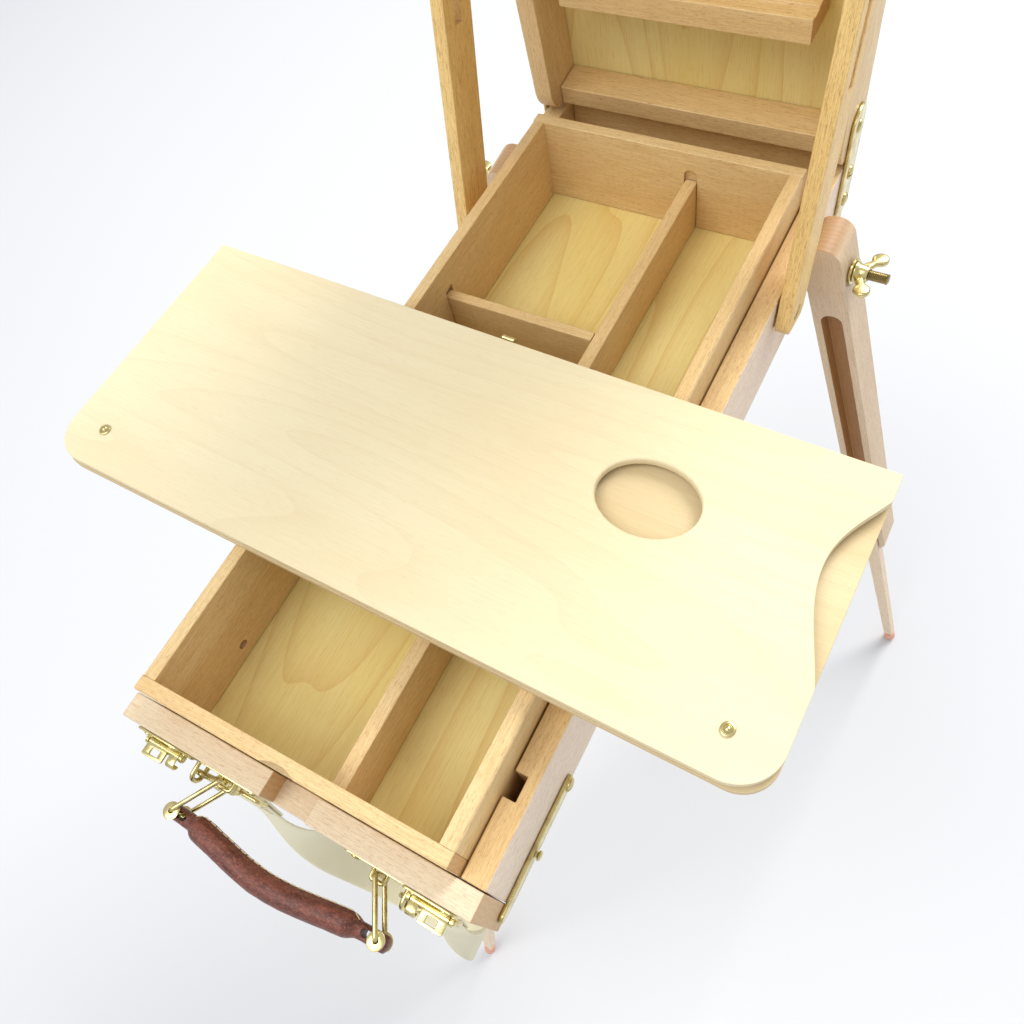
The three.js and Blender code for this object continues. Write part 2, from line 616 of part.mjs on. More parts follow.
function topRail(half, panelBase, panelTop) {
  const rail = block(-half, half, -LID.front, -LID.front + TOP_RAIL.wide, LID.rim, LID.top);
  const notch = block(-TOP_RAIL.notch, TOP_RAIL.notch, -LID.front - 1, -LID.front + TOP_RAIL.wide + 1,
    LID.rim - 1, panelBase);
  const groove = block(-half - 1, half + 1, -LID.front + 8, -LID.front + TOP_RAIL.wide + 1,
    panelBase - GAP, panelTop + GAP);
  return cut(rail, notch, groove);
}

function bottomRail(half, panelBase, panelTop) {
  const rail = block(-half, half, BOTTOM_RAIL.from, BOTTOM_RAIL.to, BOTTOM_RAIL.low, LID.top);
  const groove = block(-half - 1, half + 1, BOTTOM_RAIL.from - 1, BOTTOM_RAIL.from + 4,
    panelBase - GAP, panelTop + GAP);
  return cut(rail, groove);
}

function canvasLedge(panelBase) {
  const { half, low, high, stands, lipFrom, lipTo, lipDeep } = LEDGE;
  const ledge = block(-half, half, -high, -low, panelBase - stands, panelBase - GAP);
  const groove = block(-half - 1, half + 1, -high - 1, -high + lipDeep,
    panelBase - lipTo, panelBase - lipFrom);
  return cut(ledge, groove);
}

function mastGuide(mastBack) {
  const half = MAST.wide / 2;
  const front = mastBack - MAST.thick;
  const body = block(-half - GUIDE.wall, half + GUIDE.wall, -GUIDE.high, -GUIDE.low,
    front - GUIDE.front, mastBack);
  const gap = block(-half - GAP, half + GAP, -GUIDE.high - 1, -GUIDE.low + 1,
    front - GAP, mastBack + 1);
  return cut(body, gap);
}

function mastBar(mastBack) {
  const front = mastBack - MAST.thick;
  const board = block(-MAST.wide / 2, MAST.wide / 2, -MAST.high, -MAST.low, front, mastBack - GAP);
  const outline = slotShape(SLOT_WIDE, -MAST.slotTo, -MAST.slotFrom);
  return cut(board, plank(outline, front - 1, mastBack + 1));
}

// the clamp's face lies on the front of the mast, and its lip holds the top of a canvas
function topClamp(face) {
  const { half, low, high, thick, lip, lipTo, bite, bolt } = CLAMP;
  const body = block(-half, half, -high, -low, face - thick, face);
  const edge = block(-half, half, -low - lip, -low, face - lipTo, face - thick + 1);
  const groove = block(-half - 1, half + 1, -low - bite, -low + 3, face - lipTo + 2, face - thick + 3);
  const rod = bar([0, -bolt, face - 24], [0, -bolt, face + 6], 2.7, 14);
  return cut(join(body, edge, rod), groove);
}

function makeLid() {
  const lid = new THREE.Group();
  lid.position.set(0, HINGE.y, HINGE.z);
  lid.rotation.x = -LID_RAISED;
  easel.add(lid);
  for (const [word, side] of SIDES) add(lid, `lid_side_${word}`, lidSide(side), BEECH);
  const half = BOX_HALF - LID.wall - GAP;
  const panelTop = LID.top - LID.panel;
  const panelBase = panelTop - LID.panel;
  add(lid, 'lid_top_rail', topRail(half, panelBase, panelTop), BEECH);
  add(lid, 'lid_bottom_rail', bottomRail(half, panelBase, panelTop), BEECH);
  const panel = block(-half - GROOVE, half + GROOVE, -LID.front + 8 + GAP,
    BOTTOM_RAIL.from + 4 - GAP, panelBase, panelTop);
  add(lid, 'lid_panel', panel, PLY);
  add(lid, 'canvas_ledge', canvasLedge(panelBase), BEECH);
  const mastBack = panelBase - GAP;
  add(lid, 'mast_guide', mastGuide(mastBack), BEECH);
  add(lid, 'mast', mastBar(mastBack), BEECH);
  add(lid, 'top_clamp', topClamp(mastBack - MAST.thick - GAP), BEECH);
}

// ---------- struts ----------
function strutBoard(side) {
  const r = STRUT.wide / 2;
  const { low, bevel, slotFrom, slotEnd } = STRUT_END;
  const s = new THREE.Shape();
  s.moveTo(-r, -bevel);
  s.lineTo(-r + bevel, -low);
  s.lineTo(r - bevel, -low);
  s.lineTo(r, -bevel);
  s.lineTo(r, STRUT.length - r);
  s.absarc(0, STRUT.length - r, r, 0, Math.PI, false);
  s.lineTo(-r, -bevel);
  const inner = STRUT.x;
  const outer = STRUT.x + STRUT.thick;
  const board = sidePlank(s, side * inner, side * outer, 14);
  const slotBlank = slotShape(SLOT_WIDE, slotFrom, STRUT.length - slotEnd);
  const slot = sidePlank(slotBlank, side * (inner - 1), side * (outer + 1));
  const hole = bar([side * (inner - 1), 0, 0], [side * (outer + 1), 0, 0], STRUT_PIN.r + GAP);
  const sink = bar([side * (outer - 1.9), 0, 0], [side * (outer + 1), 0, 0], STRUT_PIN.head + 0.4, 20);
  return cut(board, slot, hole, sink);
}

function makeStruts() {
  for (const [word, side] of SIDES) {
    const holder = new THREE.Group();
    holder.position.set(0, STRUT.y, STRUT.z);
    holder.rotation.x = -STRUT.lean;
    easel.add(holder);
    add(holder, `strut_${word}`, strutBoard(side), BEECH);
  }
}

// ---------- legs, drawn hanging down from a bolt at the origin, with the slot facing -Y ----------
function upperLeg(bevelSide, boltAxis, above = LEG.above) {
  const half = LEG.wide / 2;
  const front = new THREE.Shape();
  front.moveTo(-half, -LEG.knee);
  front.lineTo(half - 6, -LEG.knee);
  front.lineTo(half, -LEG.knee + 9);
  front.lineTo(half, above - half);
  front.absarc(0, above - half, half, 0, Math.PI, false);
  front.lineTo(-half, -LEG.knee);
  const board = plank(front, 0, LEG.deep, 14).rotateX(Math.PI / 2).translate(0, LEG.deep / 2, 0);
  if (bevelSide < 0) board.scale(-1, 1, 1);
  const flipped = bevelSide < 0 ? flip(board) : board;

  const slotFace = plank(slotShape(LEG.slot, -LEG.knee - 1, -LEG.slotTop), 0, LEG.slotDeep + 1);
  const slot = slotFace.rotateX(Math.PI / 2).translate(0, -LEG.deep / 2 + LEG.slotDeep, 0);
  const reach = boltAxis.clone().multiplyScalar(30).toArray();
  const back = boltAxis.clone().multiplyScalar(-30).toArray();
  const hole = bar(back, reach, 3.4, 18);
  const seatFrom = boltAxis.clone().multiplyScalar(half + 0.9).toArray();
  const seat = bar(seatFrom, reach, 8.6, 24);
  const tools = [slot, hole];
  if (bevelSide) {
    tools.push(seat);
    // above the bolt the inner face is cut back, so that it stands flat against the box
    const wedge = block(-60, 0, -30, 30, 0, 60).rotateY(SPLAY).translate(-half, 0, 2);
    if (bevelSide < 0) tools.push(flip(wedge.scale(-1, 1, 1)));
    else tools.push(wedge);
  }
  return cut(flipped, ...tools);
}

// reverses the faces of a mirrored geometry, so that they point out again
function flip(geometry) {
  const g = geometry.index ? geometry.toNonIndexed() : geometry;
  const p = g.attributes.position;
  const a = new THREE.Vector3();
  const b = new THREE.Vector3();
  for (let i = 0; i < p.count; i += 3) {
    a.fromBufferAttribute(p, i);
    b.fromBufferAttribute(p, i + 1);
    p.setXYZ(i, b.x, b.y, b.z);
    p.setXYZ(i + 1, a.x, a.y, a.z);
  }
  return g;
}

// the lower leg slides in the slot and tapers below the knee
function lowerLeg(footAt) {
  const top = -LEG.knee + SHANK.overlap;
  const taperFrom = -LEG.knee - 4;
  const side = new THREE.Shape();
  const r = SHANK.wide / 2;
  side.moveTo(-r, taperFrom);
  side.lineTo(-SHANK.tipWide / 2, -footAt);
  side.lineTo(SHANK.tipWide / 2, -footAt);
  side.lineTo(r, taperFrom);
  side.lineTo(r, top - r);
  side.absarc(0, top - r, r, 0, Math.PI, false);
  side.lineTo(-r, taperFrom);
  const y0 = -LEG.deep / 2;
  const board = plank(side, 0, SHANK.deep).rotateX(Math.PI / 2).translate(0, y0 + SHANK.deep, 0);
  const slope = Math.atan2(SHANK.deep - SHANK.tipDeep, footAt + taperFrom);
  const shave = block(-20, 20, 0, 30, -2 * footAt, 0).rotateX(slope);
  return cut(board, shave.translate(0, y0 + SHANK.deep, taperFrom));
}

function rubberTip(footAt) {
  const y = -LEG.deep / 2 + SHANK.tipDeep / 2;
  const { r, long } = TIP;
  const profile = [[0, 0], [r - 1, 0], [r, 1], [r, long - 3], [r - 1.4, long], [0, long]];
  const cup = new THREE.LatheGeometry(profile.map((p) => new THREE.Vector2(...p)), 20);
  return cup.rotateX(Math.PI / 2).translate(0, y, -footAt - long - GAP);
}

// a wing nut with its washer, on an axis along +X, with its wings along Y
function wingNut(x0) {
  const washer = bar([x0, 0, 0], [x0 + 1.6, 0, 0], 7.6, 24);
  const hub = bar([x0 + 1.4, 0, 0], [x0 + 9.5, 0, 0], 5.4, 20, 4.6);
  const wings = [-1, 1].map((s) => {
    const w = new THREE.Shape();
    w.moveTo(2, 2.2);
    w.lineTo(9, 6.4);
    w.absellipse(12.6, 10.4, 4.2, 4.6, -2.3, 2.5, false, 0);
    w.lineTo(2, 8.4);
    w.lineTo(2, 2.2);
    const paddle = plank(w, -1.5, 1.5, 10);
    const laid = new THREE.Matrix4().makeBasis(
      new THREE.Vector3(0, s, 0), new THREE.Vector3(1, 0, 0), new THREE.Vector3(0, 0, -s),
    );
    return paddle.applyMatrix4(laid).translate(x0 + 0.6, 0, 0);
  });
  return cut(join(washer, hub, ...wings), bar([x0 - 1, 0, 0], [x0 + 12, 0, 0], 3.35, 16));
}

function makeSideLegs() {
  const restTurn = new THREE.Euler(RAKE, -SPLAY, 0);
  const toLeg = new THREE.Quaternion().setFromEuler(restTurn).invert();
  const localAxis = BOLT_AXIS.clone().applyQuaternion(toLeg);
  for (const [word, side] of SIDES) {
    const leg = new THREE.Group();
    leg.position.set(side * LEG_BOLT[0], LEG_BOLT[1], LEG_BOLT[2]);
    leg.rotation.set(RAKE, -side * SPLAY, 0);
    easel.add(leg);
    const axis = new THREE.Vector3(side * localAxis.x, localAxis.y, localAxis.z);
    add(leg, `leg_upper_${word}`, upperLeg(side, axis), LEG_BEECH);
    add(leg, `leg_lower_${word}`, lowerLeg(SHANK.foot), LEG_BEECH);
    add(leg, `leg_tip_${word}`, rubberTip(SHANK.foot), RUBBER);

    const nutHolder = new THREE.Group();
    nutHolder.position.copy(leg.position);
    const out = new THREE.Vector3(side * BOLT_AXIS.x, BOLT_AXIS.y, BOLT_AXIS.z);
    const upright = out.clone().cross(new THREE.Vector3(0, 1, 0)).normalize();
    const level = upright.clone().cross(out);
    nutHolder.quaternion.setFromRotationMatrix(new THREE.Matrix4().makeBasis(out, level, upright));
    easel.add(nutHolder);
    add(nutHolder, `wing_nut_${word}`, wingNut(LEG.wide / 2 + 1.2), BRASS);
  }
}

// the lowest point of a leaning leg, seen from its bolt
function drop(footAt, lean) {
  return (footAt + TIP.long + GAP) * Math.cos(lean) + TIP.r * Math.sin(lean);
}

function makeFrontLeg() {
  const { y, z } = FRONT_LEG;
  const inner = LEG.wide / 2 + 0.5;
  const outer = inner + LEG_BLOCK.wall;
  const { half, cheek, base: under } = LEG_BLOCK;
  const floorUnder = BOX_FLOOR.top - BOX_FLOOR.thick - GAP;
  const base = block(-outer, outer, y - half, y + half, under, floorUnder);
  const cheeks = [-1, 1].map((s) => block(
    s * inner, s * outer, y - cheek, y + cheek, z - cheek, under + 1,
  ));
  const hole = bar([-40, y, z], [40, y, z], BOLT.r + GAP);
  add(easel, 'third_leg_block', cut(join(base, ...cheeks), hole), BEECH);
  const bolt = join(
    bar([-outer - 3, y, z], [outer + 4, y, z], BOLT.r),
    bar([-outer - 3.4, y, z], [-outer - GAP, y, z], 6, 20),
    bar([outer + GAP, y, z], [outer + 8, y, z], 5.5, 6),
  );
  add(easel, 'third_leg_bolt', bolt, BRASS);

  const sideLean = Math.acos(Math.cos(SPLAY) * Math.cos(RAKE));
  const floorZ = LEG_BOLT[2] - drop(SHANK.foot, sideLean);
  const straight = (z - floorZ - TIP.r * Math.sin(FRONT_LEG.lean)) / Math.cos(FRONT_LEG.lean);
  const footAt = straight - TIP.long - GAP;
  const leg = new THREE.Group();
  leg.position.set(0, y, z);
  leg.rotation.x = -FRONT_LEG.lean;
  easel.add(leg);
  const axis = new THREE.Vector3(1, 0, 0);
  add(leg, 'leg_upper_front', upperLeg(0, axis, FRONT_LEG.above), LEG_BEECH);
  add(leg, 'leg_lower_front', lowerLeg(footAt), LEG_BEECH);
  add(leg, 'leg_tip_front', rubberTip(footAt), RUBBER);
}

makeBox();
makeDrawer();
makeFrontPanel();
makeFrontHardware();
add(easel, 'drawer_hook', drawerHook(), BRASS);
makePalette();
makeLid();
makeStruts();
makeSideLegs();
makeFrontLeg();

// the origin goes to the middle of the base
const whole = new THREE.Group();
whole.add(easel);
whole.updateMatrixWorld(true);
const bounds = new THREE.Box3().setFromObject(easel, true);
easel.position.set(-(bounds.min.x + bounds.max.x) / 2, -(bounds.min.y + bounds.max.y) / 2, -bounds.min.z);
whole.updateMatrixWorld(true);

export default whole;
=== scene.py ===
"""The looks of a half-box sketch easel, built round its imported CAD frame."""
import json
import math

import bmesh
import bpy
from mathutils import Euler, Matrix, Vector, noise

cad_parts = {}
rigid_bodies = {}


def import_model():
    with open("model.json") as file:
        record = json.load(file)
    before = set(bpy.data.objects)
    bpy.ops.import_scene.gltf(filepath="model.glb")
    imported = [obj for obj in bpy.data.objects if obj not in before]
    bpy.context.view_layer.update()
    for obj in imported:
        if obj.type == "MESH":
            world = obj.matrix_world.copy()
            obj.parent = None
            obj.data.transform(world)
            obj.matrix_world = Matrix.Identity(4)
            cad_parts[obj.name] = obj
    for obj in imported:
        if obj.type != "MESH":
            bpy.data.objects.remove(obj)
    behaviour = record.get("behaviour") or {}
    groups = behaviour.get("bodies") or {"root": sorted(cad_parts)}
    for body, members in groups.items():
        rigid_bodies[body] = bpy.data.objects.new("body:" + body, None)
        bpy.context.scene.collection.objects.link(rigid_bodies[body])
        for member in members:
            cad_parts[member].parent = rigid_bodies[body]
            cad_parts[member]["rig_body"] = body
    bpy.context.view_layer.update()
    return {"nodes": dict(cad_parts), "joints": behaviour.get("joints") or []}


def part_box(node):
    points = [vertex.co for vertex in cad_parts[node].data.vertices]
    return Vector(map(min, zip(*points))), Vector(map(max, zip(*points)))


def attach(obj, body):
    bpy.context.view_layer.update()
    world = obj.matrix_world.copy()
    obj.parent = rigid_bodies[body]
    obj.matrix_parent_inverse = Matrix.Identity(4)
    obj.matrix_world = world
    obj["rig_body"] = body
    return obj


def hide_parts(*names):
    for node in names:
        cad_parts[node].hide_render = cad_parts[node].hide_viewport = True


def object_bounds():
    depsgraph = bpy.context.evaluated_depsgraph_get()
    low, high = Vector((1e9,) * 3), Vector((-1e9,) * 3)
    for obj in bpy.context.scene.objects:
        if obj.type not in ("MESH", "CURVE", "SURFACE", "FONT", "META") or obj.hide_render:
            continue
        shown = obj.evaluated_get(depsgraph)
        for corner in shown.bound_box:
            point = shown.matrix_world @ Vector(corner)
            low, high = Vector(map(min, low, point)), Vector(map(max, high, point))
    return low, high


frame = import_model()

MM = 0.001
X, Y, Z = Vector((1, 0, 0)), Vector((0, 1, 0)), Vector((0, 0, 1))
SIDES = (("left", -1), ("right", 1))


# ---------- places, in millimetres from the middle of the drawer's front wall at its rim ----------
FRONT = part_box("drawer_front_wall")[0].y  # metres in the row frame, and so is RIM
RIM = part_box("drawer_front_wall")[1].z


def at(x, y, z):
    """A point of the row frame, from millimetres off the middle of the drawer's front rim."""
    return Vector((x * MM, FRONT + y * MM, RIM + z * MM))


FACE = -12.9  # the back of the hardware on the front panel
PLATE_Z = -50  # middle height of the handle's plates
HOOK_X, HOOK_Y = 60, -18.3  # where a snap hook hangs
HOOK_LOOP_Z = -102.6  # the bar of the hook's flat loop that holds the strap
STRAP_WIDE, STRAP_THICK = 24, 1.6
BAR_X, BAR_Y = 44, -15.8  # a handle loop's upright inner bar
LOOP_REACH, LOOP_OUT = 14, 22  # from there to its outer bar
BOX_FACE = 95.1  # outer face of the box sides
STRUT_FACE = 104.2  # outer face of the struts
STRUT_LEAN = 12  # degrees that the struts lean back
STRUT_Y, STRUT_Z = 331, -38  # the struts' pivot
HINGE_Y = 435  # the lid's pivot, level with the rim


def joint(name):
    """The record's joint of that name."""
    return next(j for j in frame["joints"] if j["name"] == name)


def axes(x, y, z, origin):
    """A matrix from three directions and an origin."""
    turned = Matrix((x, y, z)).transposed().to_4x4()
    return Matrix.Translation(origin) @ turned


def leg_axes(word):
    """A leg's own axes from its bolt: X across it, Y away from its slot, Z up along it."""
    up = -Vector(joint(f"leg_{word}_slide")["axis"]).normalized()
    away = up.cross(X).normalized()
    return axes(away.cross(up), away, up, Vector(joint(f"leg_{word}_fold")["pos_m"]))


def lid_axes():
    """The lid's own axes from its pivot: X to the right, Y up along the panel, Z to its front."""
    up = Vector(joint("mast_slide")["axis"]).normalized()
    return axes(X, up, X.cross(up), Vector(joint("lid_fold")["pos_m"]))


def strut_axes():
    """A strut's axes from its pivot: X to the right, Y across it, Z up along it."""
    lean = math.radians(STRUT_LEAN)
    up = Vector((0, math.sin(lean), math.cos(lean)))
    return axes(X, up.cross(X), up, Vector(joint("strut_right_turn")["pos_m"]))


LID = lid_axes()
STRUT = strut_axes()
LEGS = {word: leg_axes(word) for word in ("left", "right", "front")}


# ---------- camera ----------
def camera():
    """Looks down on the palette and drawer from above the front right corner."""
    data = bpy.data.cameras.new("view")
    data.sensor_width = 36
    data.lens = 30.51
    eye = bpy.data.objects.new("view", data)
    eye.location = at(173.09, 4.25, 342.6)
    eye.rotation_euler = Euler([math.radians(a) for a in (28.772, 9.391, 28.202)], "XYZ")
    bpy.context.scene.collection.objects.link(eye)
    bpy.context.scene.camera = eye


# ---------- mesh helpers ----------
def loft(bm, rings, closed=False):
    """Skins a row of rings of points. A ring of one point is a tip; open rows get end faces."""
    rows = [[bm.verts.new(p) for p in ring] for ring in rings]
    pairs = list(zip(rows, rows[1:]))
    if closed:
        pairs.append((rows[-1], rows[0]))
    for a, b in pairs:
        count = max(len(a), len(b))
        for k in range(count):
            corners = [a[k % len(a)], a[(k + 1) % len(a)], b[(k + 1) % len(b)], b[k % len(b)]]
            bm.faces.new(list(dict.fromkeys(corners)))
    if not closed:
        for row in (rows[0], rows[-1]):
            if len(row) > 2:
                bm.faces.new(row)


def lathe(bm, profile, base, axis, turns=40, closed=False, thread=None, knurl=0.0):
    """Turns a profile of (distance along the axis, radius) about an axis from a base point.
    A closed profile leaves a bore. A thread is (from, to, pitch, depth) along the axis. A knurl
    is how deep every third point is cut."""
    axis = Vector(axis).normalized()
    side = axis.orthogonal().normalized()
    up = axis.cross(side)

    def point(along, radius, k):
        angle = math.tau * k / turns
        if thread and thread[0] < along < thread[1]:
            phase = (along / thread[2] + k / turns) % 1
            radius -= thread[3] * abs(2 * phase - 1)
        if radius > 0 and k % 3 == 0:
            radius -= knurl
        spoke = side * math.cos(angle) + up * math.sin(angle)
        return base + (axis * along + spoke * radius) * MM

    rings = [[point(s, r, k) for k in range(turns if r > 0 else 1)] for s, r in profile]
    loft(bm, rings, closed)


def rod_profile(start, end, radius, step=0.25, chamfer=0.5):
    """The profile of a plain rod, cut in short steps so that a thread can follow it."""
    count = round((end - start) / step)
    middle = [(start + (end - start) * k / count, radius) for k in range(1, count)]
    return [(start, 0), (start, radius - chamfer), *middle, (end, radius - chamfer), (end, 0)]


def bent(points, radius, closed=False, steps=6):
    """Straight runs joined by round bends."""
    count = len(points)
    path = []
    for i, corner in enumerate(points):
        if not closed and i in (0, count - 1):
            path.append(corner)
            continue
        before = points[i - 1] - corner
        after = points[(i + 1) % count] - corner
        reach = min(radius * MM, 0.45 * before.length, 0.45 * after.length)
        start = corner + before.normalized() * reach
        end = corner + after.normalized() * reach
        for k in range(steps + 1):
            t = k / steps
            path.append(start * (1 - t) ** 2 + corner * 2 * t * (1 - t) + end * t * t)
    return path


def wire(bm, path, radius, closed=False, sides=12):
    """A round wire along a path, with domed ends where it is open."""
    count = len(path)
    out = None
    rings = []
    for i, p in enumerate(path):
        before = path[i - 1] if i or closed else p
        after = path[(i + 1) % count] if i < count - 1 or closed else p
        along = (after - before).normalized()
        out = along.orthogonal() if out is None else out - along * out.dot(along)
        out.normalize()
        across = along.cross(out)
        ring = []
        for k in range(sides):
            a = math.tau * k / sides
            ring.append(p + (out * math.cos(a) + across * math.sin(a)) * radius * MM)
        rings.append(ring)
    if not closed:
        rings = [*dome(rings[0], path[0] - path[1], radius)[::-1], *rings,
                 *dome(rings[-1], path[-1] - path[-2], radius)]
    loft(bm, rings, closed)


def dome(ring, outwards, radius):
    """Rings that round off the end of a wire."""
    centre = sum(ring, Vector()) / len(ring)
    out = outwards.normalized() * radius * MM
    rings = []
    for angle in (30, 60):
        lean = math.radians(angle)
        rings.append([centre + (p - centre) * math.cos(lean) + out * math.sin(lean) for p in ring])
    return [*rings, [centre + out]]


def arc(x, y, rx, ry, start, end, steps=12):
    """Points of an elliptical arc between two angles in degrees."""
    angles = [math.radians(start + (end - start) * k / steps) for k in range(steps + 1)]
    return [(x + rx * math.cos(a), y + ry * math.sin(a)) for a in angles]


def rounded_box(x0, x1, y0, y1, r, steps=5):
    """The outline of a rectangle with round corners."""
    corners = ((x1 - r, y1 - r, 0), (x0 + r, y1 - r, 90), (x0 + r, y0 + r, 180), (x1 - r, y0 + r, 270))
    return [p for x, y, a in corners for p in arc(x, y, r, r, a, a + 90, steps)]


def plate(bm, outlines, thick, place, soft=0.3):
    """A flat plate with softened rims, centred on its own XY plane: an edge and then its holes."""
    curve = bpy.data.curves.new("outline", "CURVE")
    curve.dimensions = "2D"
    curve.fill_mode = "BOTH"
    curve.extrude = thick / 2 - soft
    curve.bevel_depth = soft
    curve.bevel_resolution = 2
    curve.offset = -soft
    for points in outlines:
        spline = curve.splines.new("POLY")
        spline.points.add(len(points) - 1)
        for slot, (x, y) in zip(spline.points, points):
            slot.co = (x, y, 0, 1)
        spline.use_cyclic_u = True
    holder = bpy.data.objects.new("outline", curve)
    mesh = bpy.data.meshes.new_from_object(holder)
    mesh.transform(place @ Matrix.Scale(MM, 4))
    part = bmesh.new()
    part.from_mesh(mesh)
    bmesh.ops.remove_doubles(part, verts=part.verts, dist=1e-6)
    add_to(bm, part)
    bpy.data.objects.remove(holder)
    bpy.data.curves.remove(curve)
    bpy.data.meshes.remove(mesh)


def add_to(bm, part):
    """Moves one mesh into another."""
    spare = bpy.data.meshes.new("part")
    part.to_mesh(spare)
    part.free()
    bm.from_mesh(spare)
    bpy.data.meshes.remove(spare)


def screw(bm, seat, axis, radius, height, turn=0.0, slot_wide=0.9):
    """A slotted screw head: a low rim and a dome that a slot splits in two."""
    axis = Vector(axis).normalized()
    side = Matrix.Rotation(turn, 3, axis) @ axis.orthogonal().normalized()
    rim = 0.35 * height
    lathe(bm, [(0, 0), (0, radius), (rim, radius * 0.99), (rim, 0)], seat, axis, 28)
    for sign in (-1, 1):
        half = bmesh.new()
        curve = [(rim + (height - rim) * math.sin(math.radians(a)), radius * math.cos(math.radians(a)))
                 for a in (0, 15, 30, 45, 60, 75)]
        lathe(half, [(rim, 0), *curve, (height, 0)], seat, axis, 28)
        cut = bmesh.ops.bisect_plane(half, geom=[*half.verts, *half.edges, *half.faces],
                                     plane_co=seat + side * sign * slot_wide / 2 * MM,
                                     plane_no=side * -sign, clear_outer=True)
        edges = [e for e in cut["geom_cut"] if isinstance(e, bmesh.types.BMEdge)]
        bmesh.ops.holes_fill(half, edges=edges)
        add_to(bm, half)


def finish_piece(name, mesh, material, body, replaced=()):
    """Links a finished mesh as a piece with its material, body and the CAD nodes it stands for."""
    mesh.materials.clear()
    mesh.materials.append(material)
    piece = bpy.data.objects.new(name, mesh)
    bpy.context.scene.collection.objects.link(piece)
    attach(piece, body)
    if replaced:
        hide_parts(*replaced)
    return piece


def made(name, bm, material, slot, body, *replaced, angle=40):
    """Turns a bmesh into a piece, smooth where its faces meet at less than an angle."""
    bmesh.ops.recalc_face_normals(bm, faces=bm.faces)
    mesh = bpy.data.meshes.new(name)
    bm.to_mesh(mesh)
    bm.free()
    mesh.shade_smooth()
    mesh.set_sharp_from_angle(angle=math.radians(angle))
    return finish_piece(name, mesh, material, body, replaced)


def brass_piece(bm, node, body=None, metal=None, angle=40):
    """A brass piece that stands for a CAD node; the body has the node's name if none is given."""
    made(node + "_brass", bm, metal or BRASS, "brass", body or node, node, angle=angle)


ALIKE = 0.6  # least cosine between the normals of faces that are shaded as one


def weigh_normals(mesh):
    """Shades a bevelled mesh so that its flat faces stay flat and only its bevels turn. A corner's
    normal is the mean of the faces about it that look the same way, the larger ones counting more."""
    around = [[] for _ in mesh.vertices]
    for face in mesh.polygons:
        for v in face.vertices:
            around[v].append(face)
    normals = []
    for face in mesh.polygons:
        for v in face.vertices:
            near = [f.normal * f.area for f in around[v] if f.normal.dot(face.normal) > ALIKE]
            normals.append(sum(near, Vector()).normalized())
    mesh.shade_smooth()
    mesh.normals_split_custom_set(normals)


WELD = 0.02 * MM  # points closer than this are one
TOUCH = 0.05 * MM  # points closer than this to a plane lie in it
FLAT = math.radians(1)  # faces that meet at less are one face
SHARP = math.radians(32)  # edges that turn by more are eased


def softened(node, material, width=0.5, rounds=(), butts=()):
    """A wooden piece after its CAD node: flat faces joined, and every sharp edge rounded.
    Each of rounds is a rule that picks edges, their radius and their number of steps. Each of
    butts is an end face, (axis, place, move), that is set against its neighbour and kept sharp."""
    source = frame["nodes"][node]
    bm = bmesh.new()
    bm.from_mesh(source.data)
    bmesh.ops.remove_doubles(bm, verts=bm.verts, dist=WELD)
    bmesh.ops.dissolve_limit(bm, angle_limit=FLAT, verts=bm.verts, edges=bm.edges)
    for rule, radius, steps in rounds:
        chosen = [e for e in bm.edges if rule(e.verts[0].co, e.verts[1].co)]
        bmesh.ops.bevel(bm, geom=chosen, offset=radius * MM, segments=steps, profile=0.5, affect="EDGES")
    sharp = [e for e in bm.edges if len(e.link_faces) == 2 and e.calc_face_angle(0) > SHARP]
    for axis, place, move in butts:
        flush = [v for v in bm.verts if abs(v.co[axis] - place) < TOUCH]
        sharp = [e for e in sharp if not (e.verts[0] in flush and e.verts[1] in flush)]
        for v in flush:
            v.co[axis] += move * MM
    bmesh.ops.bevel(bm, geom=sharp, offset=width * MM, segments=2, profile=0.5, affect="EDGES")
    bmesh.ops.recalc_face_normals(bm, faces=bm.faces)
    mesh = bpy.data.meshes.new(node + "_fine")
    bm.to_mesh(mesh)
    bm.free()
    weigh_normals(mesh)
    return finish_piece(node + "_fine", mesh, material, source["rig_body"], (node,))


# ---------- material helpers ----------
def shade(red, green, blue):
    """A colour as the eye reads it, from 0 to 255, as the renderer wants it."""
    def linear(v):
        v /= 255
        return v / 12.92 if v <= 0.04045 else ((v + 0.055) / 1.055) ** 2.4
    return (linear(red), linear(green), linear(blue), 1)


